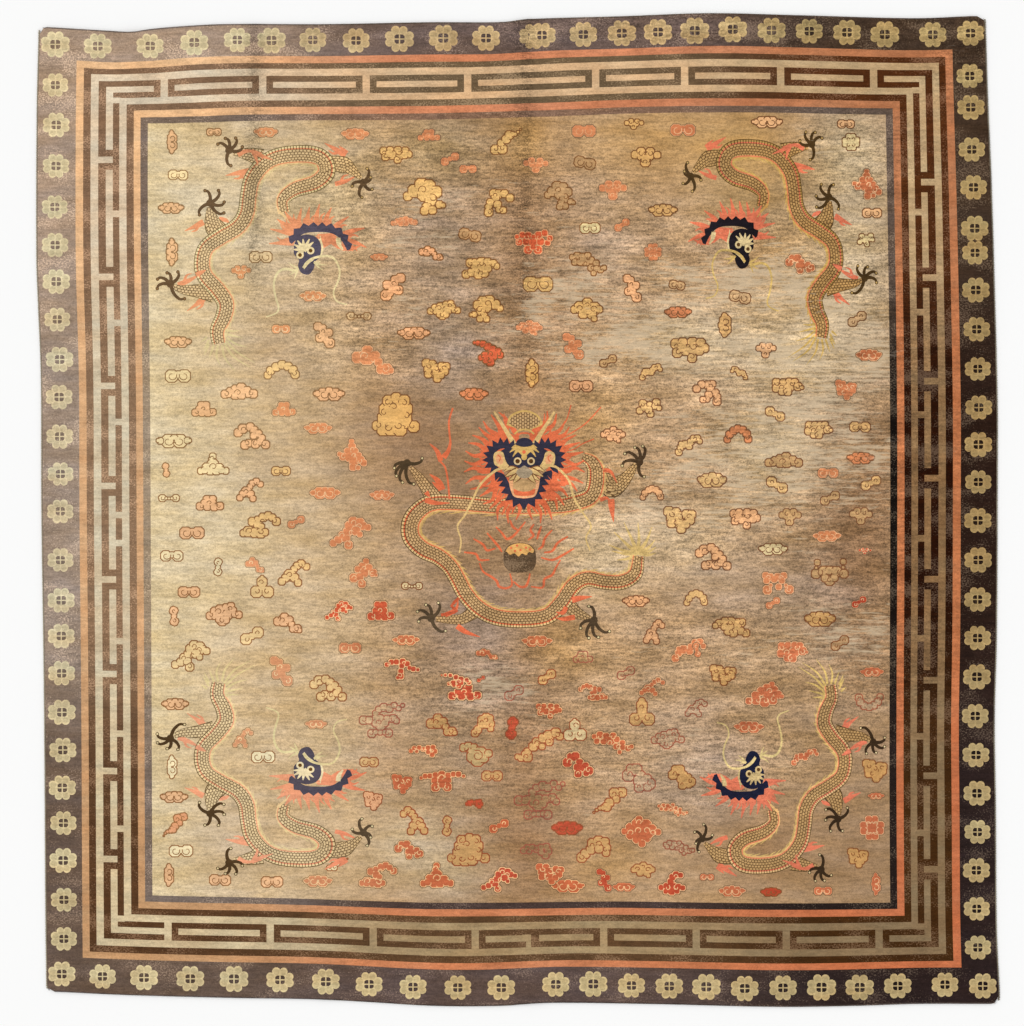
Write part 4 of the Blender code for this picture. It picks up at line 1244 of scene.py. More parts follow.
def slabOutline():
    # The slab's own edge as laid, corner to corner.
    straight = stepped(
        [(-sideX, -endY), (sideX, -endY),
         (sideX, endY), (-sideX, endY)],
        carpet["rimStep"],
    )
    corners = []
    cut = carpet["cornerCut"] * 3
    for x, y in straight:
        nearX = sideX - abs(x) < 1e-6
        nearY = endY - abs(y) < 1e-6
        corners.append((x, y))
        if nearX and nearY:
            corners.append((x - math.copysign(cut, x), y) if x * y < 0 else (x, y - math.copysign(cut, y)))
    return np.column_stack(laidPlace(*np.array(corners).T, carpet["sideMargin"]))


def triangulate(points, edges):
    made = delaunay_2d_cdt([Vector(p) for p in points], edges, [], 0, 1e-6, True)
    return np.array([tuple(v) for v in made[0]]), np.array([f for f in made[2] if len(f) == 3])


def gridPoints(step, outline):
    across = np.arange(-sideX, sideX, step)
    along = np.arange(-endY, endY, step)
    x, y = np.meshgrid(across, along)
    x[1::2] += step / 2
    x, y = x.ravel(), y.ravel()
    keep = insideOutline(x, y, outline * carpet["gridShare"])
    return np.column_stack((x[keep], y[keep]))


def foldPoints():
    look, out = ridgePoints, []
    for x0, y0, x1, y1, bow, halfWidth, *_ in folds.values():
        start, end = np.array((x0, y0)), np.array((x1, y1))
        run = end - start
        length = float(np.hypot(*run))
        aside = np.array((run[1], -run[0])) / length
        for t in np.arange(0, 1, look["along"] / length):
            for off in look["across"]:
                out.append(start + run * t + aside * (bow * 4 * t * (1 - t) + off * halfWidth))
    out = np.array(out)
    keep = (np.abs(out[:, 0]) < sideX - look["clearX"]) & (np.abs(out[:, 1]) < endY - look["clearY"])
    return out[keep]


def shrunk(outline, amount):
    aside = sideways(np.vstack((outline[-1], outline, outline[0])))[1:-1]
    return outline + aside * amount


def ownersOf(middles):
    # The area that lies uppermost at each place, or -1.
    order = np.argsort(middles[:, 0])
    sortedX = middles[order, 0]
    owner = np.full(len(middles), -1)
    for index, inlay in enumerate(inlays):
        loop = inlay["outline"]
        low, high = loop.min(axis=0), loop.max(axis=0)
        part = order[np.searchsorted(sortedX, low[0]):np.searchsorted(sortedX, high[0])]
        part = part[(middles[part, 1] >= low[1]) & (middles[part, 1] <= high[1])]
        if len(part):
            owner[part[insideOutline(middles[part, 0], middles[part, 1], loop)]] = index
    return owner


def facePairs(faces):
    return np.sort(np.vstack((faces[:, :2], faces[:, 1:], faces[:, ::2])), axis=1)


def partingLines(spots, faces, owner):
    # The lines where the yarn changes, each straight stretch kept as one.
    looks = {}
    kinds = [looks.setdefault((inlay["yarn"], inlay["shade"], id(inlay["run"])), len(looks))
             for inlay in inlays]
    area = np.array(kinds + [-1])[owner]
    pairs = facePairs(faces)
    sides = np.tile(area, 3)
    order = np.lexsort((pairs[:, 1], pairs[:, 0]))
    pairs, sides = pairs[order], sides[order]
    parted = (pairs[1:] == pairs[:-1]).all(axis=1) & (sides[1:] != sides[:-1])
    nextTo = {}
    for a, b in pairs[1:][parted].tolist():
        nextTo.setdefault(a, set()).add(b)
        nextTo.setdefault(b, set()).add(a)
    places = spots.tolist()
    for spot in list(nextTo):
        if len(nextTo[spot]) != 2:
            continue
        a, b = nextTo[spot]
        x, y = places[spot]
        runX, runY = places[b][0] - places[a][0], places[b][1] - places[a][1]
        length = math.hypot(runX, runY)
        aside = abs(runX * (y - places[a][1]) - runY * (x - places[a][0]))
        if b not in nextTo[a] and length < carpet["stretch"] and aside < carpet["straightness"] * length:
            for one, other in ((a, b), (b, a)):
                nextTo[one].discard(spot)
                nextTo[one].add(other)
            del nextTo[spot]
    number = {spot: i for i, spot in enumerate(nextTo)}
    lines = [(number[a], number[b]) for a in nextTo for b in nextTo[a] if a < b]
    return [tuple(places[spot]) for spot in nextTo], lines


def drawnLoops(outline):
    # Every area's outline, without the edges that its own family hides.
    points, edges = [], []

    def addLoop(loop, keepEdge=None):
        base = len(points)
        points.extend(map(tuple, loop))
        count = len(loop)
        for i in range(count):
            if keepEdge is None or keepEdge[i]:
                edges.append((base + i, base + (i + 1) % count))

    addLoop(outline)
    addLoop(shrunk(outline, carpet["shoulder"]))
    families = {}
    for inlay in inlays:
        if inlay["family"]:
            families.setdefault(inlay["family"], []).append(inlay["outline"])
    for inlay in inlays:
        loop = inlay["outline"]
        keep = np.ones(len(loop), bool)
        for other in families.get(inlay["family"], []):
            if other is not loop and len(loop) < 20:
                low, high = other.min(axis=0), other.max(axis=0)
                if (loop.max(axis=0) < low).any() or (loop.min(axis=0) > high).any():
                    continue
                hidden = insideOutline(loop[:, 0], loop[:, 1], other)
                keep &= ~(hidden & np.roll(hidden, -1))
        if inlay["yarn"] == "ground":
            keep &= np.abs(loop[:, 0]) < sideX - carpet["sideClear"]
        addLoop(loop, keep)
    return points, edges


def owned(points, edges, outline):
    spots, faces = triangulate(points, edges)
    middles = spots[faces].mean(axis=1)
    kept = insideOutline(middles[:, 0], middles[:, 1], outline)
    return spots, faces[kept], ownersOf(middles[kept])


def buildPile():
    # First everything drawn, then again with only the lines that show, clear of the rounded edge.
    outline = slabOutline()
    points, edges = partingLines(*owned(*drawnLoops(outline), outline))
    x, y = np.array(points).T
    clear = insideOutline(x, y, shrunk(outline, carpet["shoulder"] * 0.9))
    number = np.cumsum(clear) - 1
    edges = [(int(number[a]), int(number[b])) for a, b in edges if clear[a] and clear[b]]
    points = [point for point, kept in zip(points, clear) if kept]
    for loop in (outline, shrunk(outline, carpet["shoulder"])):
        base, count = len(points), len(loop)
        points.extend(map(tuple, loop))
        edges.extend((base + i, base + (i + 1) % count) for i in range(count))
    points.extend(map(tuple, gridPoints(carpet["fieldGrid"], outline)))
    points.extend(map(tuple, foldPoints()))
    spots, faces, owner = owned(points, edges, outline)
    used, faces = np.unique(faces, return_inverse=True)
    print("pile triangles", len(owner), flush=True)
    return outline, spots[used], faces.reshape(-1, 3), owner


def bodyRun(x, y, run):
    # Distance along and across a dragon's body, in chart squares.
    line, along, side = run
    starts, steps = line[:-1], np.diff(line, axis=0)
    t = ((x[:, None] - starts[None, :, 0]) * steps[None, :, 0]
         + (y[:, None] - starts[None, :, 1]) * steps[None, :, 1]) / (steps**2).sum(axis=1)[None]
    t = np.clip(t, 0, 1)
    dx = x[:, None] - starts[None, :, 0] - t * steps[None, :, 0]
    dy = y[:, None] - starts[None, :, 1] - t * steps[None, :, 1]
    best = np.argmin(dx**2 + dy**2, axis=1)
    rows = np.arange(len(x))
    length = along[best] + t[rows, best] * np.diff(along)[best]
    cross = steps[best, 0] * dy[rows, best] - steps[best, 1] * dx[rows, best]
    across = np.sign(cross) * np.hypot(dx[rows, best], dy[rows, best]) / chart["square"]
    return length, across * side


def colourCorners(spots, faces, owner):
    corners = faces.ravel()
    x, y = spots[corners, 0], spots[corners, 1]
    cornerOwner = np.repeat(owner, 3)
    yarns = np.array([inlay["yarn"] for inlay in inlays] + ["endLine"])
    shades = np.array([inlay["shade"] for inlay in inlays] + [1.0])
    cornerYarn = yarns[cornerOwner]
    dye = np.zeros((len(corners), 3))
    for yarn in np.unique(cornerYarn):
        pick = cornerYarn == yarn
        source, share = mixedYarns.get(yarn, (yarn, 1))
        dye[pick] = dyeAt(source, x[pick], y[pick]) * share
    dye *= shades[cornerOwner][:, None]
    run = np.zeros((len(corners), 3))
    for index, inlay in enumerate(inlays):
        if inlay["run"] is None:
            continue
        pick = np.nonzero(cornerOwner == index)[0]
        if len(pick):
            run[pick, 0], run[pick, 1] = bodyRun(x[pick], y[pick], inlay["run"])
    finish = np.array([yarnFinish.get(yarn, 3) for yarn in yarns[owner]])
    return dye, run, finish


def closeSlab(outline, spots, faces):
    # Lower the rim, add the side wall and a coarse woven back on the same border points.
    count = len(spots)
    pairs = facePairs(faces)
    keys, times = np.unique(pairs, axis=0, return_counts=True)
    rim = keys[times == 1]
    nextTo = {}
    for a, b in rim:
        nextTo.setdefault(a, []).append(b)
        nextTo.setdefault(b, []).append(a)
    start = int(rim[0, 0])
    loop, before, here = [start], None, start
    while len(loop) <= len(rim):
        following = [n for n in nextTo[here] if n != before][0]
        if following == start:
            break
        loop.append(following)
        before, here = here, following
    loop = np.array(loop)
    ring = spots[loop]
    area = np.sum(ring[:, 0] * np.roll(ring[:, 1], -1) - np.roll(ring[:, 0], -1) * ring[:, 1])
    if area < 0:
        loop, ring = loop[::-1], ring[::-1]
    lift = floorLift(spots[:, 0], spots[:, 1])
    top = lift + carpet["thickness"] - wornDepth(spots[:, 0], spots[:, 1])
    top[loop] -= carpet["shoulderDrop"]
    backPoints = list(map(tuple, ring)) + list(map(tuple, gridPoints(carpet["backGrid"], outline)))
    backPoints += list(map(tuple, foldPoints()))
    backEdges = [(i, (i + 1) % len(ring)) for i in range(len(ring))]
    backSpots, backFaces = triangulate(backPoints, backEdges)
    middles = backSpots[backFaces].mean(axis=1)
    backFaces = backFaces[insideOutline(middles[:, 0], middles[:, 1], ring)]
    match = {tuple(spot): index for index, spot in enumerate(backSpots.round(5).tolist())}
    foot = np.array([match[tuple(spot)] for spot in ring.round(5).tolist()])
    back = np.column_stack((backSpots, floorLift(backSpots[:, 0], backSpots[:, 1])))
    upper = np.column_stack((spots, top))
    wall = []
    for a, b, c, d in zip(loop, np.roll(loop, -1), foot, np.roll(foot, -1)):
        wall += [(a, c + count, d + count), (a, d + count, b)]
    points = np.vstack((upper, back))
    allFaces = np.vstack((faces, backFaces[:, ::-1] + count, np.array(wall)))
    return points, allFaces, len(faces), len(backFaces)


# Shared effects, each a node group.
class NodeKit:
    # Short calls for making and joining nodes in one tree.
    def __init__(self, tree):
        self.tree = tree

    def add(self, kind, **values):
        node = self.tree.nodes.new(kind)
        for name, value in values.items():
            setattr(node, name, value)
        return node

    def join(self, source, target):
        self.tree.links.new(source, target)

    def put(self, value, socket):
        if isinstance(value, (int, float)):
            socket.default_value = value
        elif isinstance(value, tuple):
            socket.default_value = (*value, 1.0)
        else:
            self.join(value, socket)

    def maths(self, operation, a, b=0.0, clamp=False):
        node = self.add("ShaderNodeMath", operation=operation, use_clamp=clamp)
        self.put(a, node.inputs[0])
        self.put(b, node.inputs[1])
        return node.outputs[0]

    def times(self, a, b, clamp=False):
        return self.maths("MULTIPLY", a, b, clamp)

    def plus(self, a, b):
        return self.maths("ADD", a, b)

    def minus(self, a, b):
        return self.maths("SUBTRACT", a, b)

    def noise(self, vector, scale, detail=2.0, roughness=0.5, shift=(0, 0, 0)):
        # Stretched where the scale is three numbers.
        if isinstance(scale, tuple):
            node = self.add("ShaderNodeMapping")
            node.inputs["Scale"].default_value = scale
            node.inputs["Location"].default_value = shift
            self.join(vector, node.inputs["Vector"])
            vector, scale = node.outputs["Vector"], 1.0
        node = self.add("ShaderNodeTexNoise")
        for name, number in (("Scale", scale), ("Detail", detail), ("Roughness", roughness)):
            node.inputs[name].default_value = number
        self.join(vector, node.inputs["Vector"])
        return node.outputs["Fac"]

    def spread(self, value, low, high, outLow=0.0, outHigh=1.0):
        node = self.add("ShaderNodeMapRange")
        for name, number in (("From Min", low), ("From Max", high), ("To Min", outLow), ("To Max", outHigh)):
            node.inputs[name].default_value = number
        self.join(value, node.inputs["Value"])
        return node.outputs["Result"]

    def blend(self, share, a, b, mode="MIX"):
        node = self.add("ShaderNodeMix", data_type="RGBA", blend_type=mode)
        for value, socket in ((share, "Factor"), (a, "A"), (b, "B")):
            self.put(value, node.inputs[socket])
        return node.outputs["Result"]


def newGroup(name, inputs, outputs):
    # Every group starts from a place; its other inputs and its outputs are numbers.
    tree = bpy.data.node_groups.new(name, "ShaderNodeTree")
    tree.interface.new_socket(name="Place", in_out="INPUT", socket_type="NodeSocketVector")
    for socket, value in inputs.items():
        made = tree.interface.new_socket(name=socket, in_out="INPUT", socket_type="NodeSocketFloat")
        made.default_value = value
    for socket in outputs:
        tree.interface.new_socket(name=socket, in_out="OUTPUT", socket_type="NodeSocketFloat")
    kit = NodeKit(tree)
    return tree, kit, kit.add("NodeGroupInput"), kit.add("NodeGroupOutput")


def pileGrainGroup():
    # Knots in their rows, and single tufts that catch more or less light.
    tree, kit, source, out = newGroup("pile grain", {"Knot Rows": 0.5}, ("Fleck", "Height"))
    tufts = kit.noise(source.outputs["Place"], (150, 165, 60), 2.0, 0.75)
    lines = kit.noise(source.outputs["Place"], (30, 100, 40), 1.5, 0.6)
    wave = kit.add("ShaderNodeTexWave", wave_type="BANDS", bands_direction="Y")
    wave.inputs["Scale"].default_value = 42.0
    wave.inputs["Distortion"].default_value = 1.2
    kit.join(source.outputs["Place"], wave.inputs["Vector"])
    fleck = kit.plus(kit.times(tufts, 0.62), kit.times(lines, 0.38))
    kit.join(kit.spread(fleck, 0.37, 0.63), out.inputs["Fleck"])
    rows = kit.times(wave.outputs["Fac"], source.outputs["Knot Rows"])
    kit.join(kit.plus(tufts, kit.times(rows, 0.4)), out.inputs["Height"])
    return tree


def abrashGroup():
    # Broad dye bands across the loom, finer streaks inside them, and soft blotches.
    tree, kit, source, out = newGroup("abrash", {}, ("Band", "Streak", "Blotch"))
    place = source.outputs["Place"]
    broad = kit.noise(place, (2.4, 9.0, 1), 3.0, 0.6)
    kit.join(kit.spread(broad, 0.34, 0.66), out.inputs["Band"])
    fine = kit.noise(place, (6.5, 62, 1), 2.5, 0.6, (3, 1, 0))
    kit.join(kit.spread(fine, 0.34, 0.66), out.inputs["Streak"])
    blotch = kit.noise(place, (5.5, 8.5, 1), 3.0, 0.6, (7, 2, 0))
    kit.join(kit.spread(blotch, 0.36, 0.64), out.inputs["Blotch"])
    return tree


def footWearGroup():
    # Pale foundation showing in streaks where the pile is nearly gone.
    tree, kit, source, out = newGroup("foot wear", {"Tread": 0.0}, ["Bare"])
    place = source.outputs["Place"]
    streak = kit.noise(place, (8, 62, 1), 3.0, 0.75, (1, 4, 0))
    patch = kit.noise(place, (2.6, 6, 1), 2.0, 0.5, (2, 8, 0))
    both = kit.plus(kit.times(streak, 0.62), kit.times(patch, 0.38))
    level = kit.minus(0.70, kit.times(source.outputs["Tread"], 0.24))
    over = kit.times(kit.minus(both, level), 9.0, clamp=True)
    kit.join(over, out.inputs["Bare"])
    return tree


def corrosionGroup():
    # Iron-dyed brown eaten away knot by knot.
    tree, kit, source, out = newGroup("corrosion", {"Loss": 0.4}, ["Bare"])
    place = source.outputs["Place"]
    knots = kit.noise(place, (120, 150, 1), 1.5, 0.7)
    patch = kit.noise(place, (4.5, 9, 1), 2.0, 0.5, (5, 5, 0))
    level = kit.minus(0.84, kit.times(source.outputs["Loss"], kit.spread(patch, 0.35, 0.65, 0.35, 1.0)))
    over = kit.times(kit.minus(knots, level), 6.0, clamp=True)
    kit.join(over, out.inputs["Bare"])
    return tree


groups = {
    "grain": pileGrainGroup(), "abrash": abrashGroup(), "wear": footWearGroup(),
    "corrosion": corrosionGroup(),
}

# Each finish: streaking, fleck, wear, corrosion and what shows through.
finishLooks = {
    "fieldWool": {"band": 0.26, "streak": 0.18, "blotch": 0.20, "fleck": 0.66, "wear": 1.0, "loss": 0.0,
                  "bare": (0.68, 0.53, 0.35), "warm": (1.05, 1.0, 0.90), "cool": (0.95, 0.98, 1.08)},
    "groundWool": {"band": 0.18, "streak": 0.20, "blotch": 0.24, "fleck": 0.62, "wear": 0.5, "loss": 0.44,
                   "bare": (0.34, 0.28, 0.23), "warm": (1.06, 1.0, 0.92), "cool": (0.95, 0.98, 1.07)},
    "corrodedWool": {"band": 0.10, "streak": 0.20, "blotch": 0.24, "fleck": 0.55, "wear": 0.0, "loss": 0.50,
                     "bare": (0.42, 0.31, 0.19), "warm": (1.04, 1.0, 0.94), "cool": (0.97, 1.0, 1.02)},
    "patternWool": {"band": 0.08, "streak": 0.12, "blotch": 0.20, "fleck": 0.40, "wear": 0.45, "loss": 0.0,
                    "bare": (0.70, 0.56, 0.38), "warm": (1.03, 1.0, 0.95), "cool": (0.98, 1.0, 1.03)},
    "borderWool": {"band": 0.14, "streak": 0.14, "blotch": 0.26, "fleck": 0.45, "wear": 0.5, "loss": 0.12,
                   "bare": (0.72, 0.58, 0.42), "warm": (1.05, 0.98, 0.92), "cool": (0.96, 1.0, 1.04)},
}
# How much of a trodden place and of a lost knot shows, and how its ground differs from the dye.
bareLook = {"foot": 0.68, "lost": 0.85, "paler": (1.9, 1.9, 1.9), "added": (0.10, 0.075, 0.05)}


def startMaterial(name, roughness=0.95, specular=0.05, sheen=0.02):
    material = bpy.data.materials.new(name)
    material.use_nodes = True
    kit = NodeKit(material.node_tree)
    shader = material.node_tree.nodes["Principled BSDF"]
    for socket, number in (("Roughness", roughness), ("Specular IOR Level", specular),
                           ("Sheen Weight", sheen), ("Sheen Roughness", 0.6)):
        shader.inputs[socket].default_value = number
    return material, kit, shader


def place(kit):
    return kit.add("ShaderNodeTexCoord").outputs["Object"]


def useGroup(kit, name, source, **values):
    node = kit.add("ShaderNodeGroup", node_tree=groups[name])
    kit.join(source, node.inputs["Place"])
    for socket, value in values.items():
        kit.put(value, node.inputs[socket.replace("_", " ")])
    return node


def attribute(kit, name, output="Color"):
    return kit.add("ShaderNodeAttribute", attribute_type="GEOMETRY", attribute_name=name).outputs[output]


def woolColour(kit, here, base, look):
    # Dye with its bands, streaks, blotches, flecks and bare places.
    abrash = useGroup(kit, "abrash", here)
    grain = useGroup(kit, "grain", here)
    tinted = kit.blend(abrash.outputs["Band"], look["warm"], look["cool"])
    colour = kit.blend(1.0, base, tinted, "MULTIPLY")
    # Everything stands out more where feet have worn the pile.
    worn = attribute(kit, "tread", "Fac")
    rough = kit.spread(worn, 0.12, 0.42, 0.82, 1.62)
    light = 1.0
    for source, output in ((abrash, "Band"), (abrash, "Blotch"), (grain, "Fleck")):
        swing = kit.times(kit.minus(source.outputs[output], 0.5), rough)
        light = kit.times(light, kit.plus(1.0, kit.times(swing, look[output.lower()])))
    share = kit.spread(worn, 0, 1, look["streak"] * 0.7, look["streak"] * 3.2)
    streak = kit.times(kit.minus(abrash.outputs["Streak"], 0.5), share)
    light = kit.times(light, kit.plus(1.0, streak))
    # Painted shade along the old folds darkens the pile, broken up by the tufts.
    line = kit.times(attribute(kit, "foldShade", "Fac"), kit.spread(grain.outputs["Fleck"], 0, 1, 0.5, 0.1))
    light = kit.times(light, kit.minus(1.0, line))
    grey = kit.add("ShaderNodeCombineColor")
    for socket in ("Red", "Green", "Blue"):
        kit.join(light, grey.inputs[socket])
    colour = kit.blend(1.0, colour, grey.outputs["Color"], "MULTIPLY")
    if look["wear"]:
        tread = kit.times(worn, look["wear"])
        bare = useGroup(kit, "wear", here, Tread=tread).outputs["Bare"]
        colour = kit.blend(kit.times(bare, bareLook["foot"]), colour, look["bare"])
    if look["loss"]:
        # Where knots are gone the ground shows, paler than the dye round it.
        loss = kit.spread(worn, 0, 1, look["loss"] * 0.85, look["loss"] * 1.25)
        bare = useGroup(kit, "corrosion", here, Loss=loss).outputs["Bare"]
        ground = kit.blend(1.0, base, bareLook["paler"], "MULTIPLY")
        ground = kit.blend(1.0, ground, bareLook["added"], "ADD")
        colour = kit.blend(kit.times(bare, bareLook["lost"]), colour, ground)
    return colour, grain.outputs["Height"]


def finishPile(kit, shader, colour, height, strength=0.35, depth=0.0012):
    kit.join(colour, shader.inputs["Base Color"])
    bump = kit.add("ShaderNodeBump")
    bump.inputs["Strength"].default_value = strength
    bump.inputs["Distance"].default_value = depth
    kit.join(height, bump.inputs["Height"])
    kit.join(bump.outputs["Normal"], shader.inputs["Normal"])


def woolMaterial(name):
    look = finishLooks[name]
    material, kit, shader = startMaterial(name)
    colour, height = woolColour(kit, place(kit), attribute(kit, "dye"), look)
    finishPile(kit, shader, colour, height)
    return material


# Dragon scales, in chart squares along and across the body.
scaleLook = {"along": 3.5, "across": 2.6, "end": 0.25, "row": 0.13, "bow": 0.9, "ink": (0.17, 0.12, 0.10),
             "depth": 0.88, "plate": 2.8, "plateLine": 0.14}


def scaleMaterial(name, plates):
    material, kit, shader = startMaterial(name)
    run = kit.add("ShaderNodeSeparateXYZ")
    kit.join(attribute(kit, "bodyRun", "Vector"), run.inputs["Vector"])
    here = place(kit)
    base = attribute(kit, "dye")
    if plates:
        at = kit.maths("PINGPONG", kit.maths("DIVIDE", run.outputs["X"], scaleLook["plate"]), 0.5)
        ink = kit.maths("LESS_THAN", at, scaleLook["plateLine"])
    else:
        # Rows along the body, each shifted by half a scale beside the next one.
        row = kit.plus(kit.maths("DIVIDE", run.outputs["Y"], scaleLook["across"]), 40.0)
        shift = kit.times(kit.maths("MODULO", kit.maths("FLOOR", row), 2.0), 0.5)
        aside = kit.maths("ABSOLUTE", kit.minus(kit.maths("FRACT", row), 0.5))
        bow = kit.times(kit.times(aside, aside), scaleLook["bow"])
        along = kit.plus(kit.maths("DIVIDE", run.outputs["X"], scaleLook["along"]), shift)
        end = kit.maths("LESS_THAN", kit.maths("FRACT", kit.plus(along, bow)), scaleLook["end"])
        between = kit.maths("GREATER_THAN", aside, 0.5 - scaleLook["row"])
        ink = kit.maths("MAXIMUM", end, between)
    line = kit.blend(1.0, base, scaleLook["ink"], "MULTIPLY")
    inked = kit.blend(kit.times(ink, scaleLook["depth"]), base, line)
    colour, height = woolColour(kit, here, inked, finishLooks["patternWool"])
    finishPile(kit, shader, colour, height)
    return material


def backMaterial():
    material, kit, shader = startMaterial("backWeave")
    here = place(kit)
    grain = useGroup(kit, "grain", here)
    colour = kit.blend(grain.outputs["Fleck"], (0.36, 0.27, 0.18), (0.55, 0.45, 0.31))
    finishPile(kit, shader, colour, grain.outputs["Height"], 0.5)
    return material


# Where feet have trodden most: column, row, reach across, reach along, how bare.
treadPlaces = (
    "700 330 160 60 1, 820 380 90 90 .9, 640 300 60 60 .8, 745 470 150 60 .9, 800 265 80 40 .6, "
    "420 200 90 60 .45, 500 690 60 30 .6, 400 320 90 70 .4, 870 620 60 90 .6, 780 650 120 40 .5, "
    "850 160 60 40 .55, 720 760 90 40 .5, 640 520 120 40 .4, 540 330 80 50 .4, 960 60 30 40 .45, "
    "700 30 200 12 .5, 520 210 150 80 .3, 600 640 200 120 .15, 540 740 150 130 .18, 400 620 90 120 .08"
)


leastTread = 0.12


def treadAt(x, y):
    tread = np.full(len(x), leastTread)
    for column, row, across, along, much in rowsOf(treadPlaces):
        midX, midY = onCarpet([(column, row)])[0]
        away = np.hypot((x - midX) / (across * chart["square"]), (y - midY) / (along * chart["square"]))
        tread += much * np.exp(-away**2)
    return np.clip(tread, 0, 1)


# The map for baking: the pile flat across the picture, the back small beside it.
bakeMap = {"corner": (2.32, 2.42), "span": 4.86, "backPlace": 0.962, "backWidth": 0.034, "wall": 0.006}


def addObject(name, data):
    made = bpy.data.objects.new(name, data)
    bpy.context.scene.collection.objects.link(made)
    return made


def fill(layer, field, values):
    layer.data.foreach_set(field, values.ravel())


def buildCarpet():
    outline, spots, faces, owner = buildPile()
    dye, run, finish = colourCorners(spots, faces, owner)
    points, allFaces, topCount, backCount = closeSlab(outline, spots, faces)
    mesh = bpy.data.meshes.new("knotted carpet")
    mesh.from_pydata(points.tolist(), [], allFaces.tolist())
    piece = addObject("knottedCarpet", mesh)
    total = len(allFaces)
    wallCount = total - topCount - backCount
    corners = allFaces.ravel()
    colours = np.ones((total * 3, 4))
    colours[: topCount * 3, :3] = dye
    rest = corners[topCount * 3:]
    colours[topCount * 3:, :3] = dyeAt("endLine", points[rest, 0], points[rest, 1])
    fill(mesh.color_attributes.new("dye", "FLOAT_COLOR", "CORNER"), "color", colours)
    runs = np.zeros((total * 3, 3))
    runs[: topCount * 3] = run
    fill(mesh.attributes.new("bodyRun", "FLOAT_VECTOR", "CORNER"), "vector", runs)
    # Per point: how trodden the pile is, and the painted shade along the old folds.
    for name, worn in (("tread", treadAt), ("foldShade", foldShadeAt)):
        fill(mesh.attributes.new(name, "FLOAT", "POINT"), "value", worn(*points[:, :2].T))
    slots = np.concatenate((finish, np.full(backCount, 7), np.full(wallCount, 1)))
    mesh.polygons.foreach_set("material_index", slots.astype(np.int32))
    look = bakeMap
    uv = (points[corners, :2] + look["corner"]) / look["span"]
    first, last = topCount * 3, (topCount + backCount) * 3
    uv[first:last, 0] = look["backPlace"] + uv[first:last, 0] * look["backWidth"]
    onFoot = corners[last:] >= len(spots)
    outward = points[corners[last:], :2] / np.abs(points[corners[last:], :2]).max(axis=1, keepdims=True)
    uv[last:] += outward * (look["wall"] * onFoot)[:, None]
    fill(mesh.uv_layers.new(name="OFBake"), "uv", uv)
    for name in ("fieldWool", "groundWool", "corrodedWool", "patternWool"):
        mesh.materials.append(woolMaterial(name))
    mesh.materials.append(scaleMaterial("scaleWool", False))
    mesh.materials.append(scaleMaterial("plateWool", True))
    mesh.materials.append(woolMaterial("borderWool"))
    mesh.materials.append(backMaterial())
    mesh.shade_smooth()
    mesh.update()
    mesh.validate()
    print("carpet mesh", total, "triangles")
    return piece


# Side cords: one overcast stitch, copied along each side.
cordStitch = {"pitch": 0.0115, "width": 0.0088, "height": 0.0088, "slant": 0.0035, "short": 0.013,
              "yarn": 0.46, "core": 0.31, "lift": 0.0003}
cordDye = {"left": ((0.34, 0.28, 0.20), (0.42, 0.36, 0.27)),
           "right": ((0.15, 0.12, 0.085), (0.30, 0.26, 0.19))}


def cordMaterial(side):
    material, kit, shader = startMaterial("overcastYarn " + side, 0.9)
    here = place(kit)
    grain = useGroup(kit, "grain", here)
    abrash = useGroup(kit, "abrash", here)
    dark, light = cordDye[side]
    colour = kit.blend(abrash.outputs["Blotch"], dark, light)
    colour = kit.blend(kit.times(grain.outputs["Fleck"], 0.35), colour, light)
    finishPile(kit, shader, colour, grain.outputs["Height"], 0.4, 0.0006)
    return material


def buildStitch():
    bpy.ops.object.select_all(action="DESELECT")
    bpy.ops.mesh.primitive_torus_add(
        major_segments=12, minor_segments=6, major_radius=0.5, minor_radius=0.5 * cordStitch["yarn"],
        location=(0, 0, 0))
    stitch = bpy.context.active_object
    stitch.name = "overcast stitch"
    bpy.ops.object.mode_set(mode="EDIT")
    bpy.ops.mesh.select_all(action="SELECT")
    # Upright across the side, then leaning along it.
    bpy.ops.transform.rotate(value=math.pi / 2, orient_axis="X", center_override=(0, 0, 0))
    bpy.ops.transform.resize(value=(1.0, 1.35, 1.0), center_override=(0, 0, 0))
    bpy.ops.object.mode_set(mode="OBJECT")
    return stitch


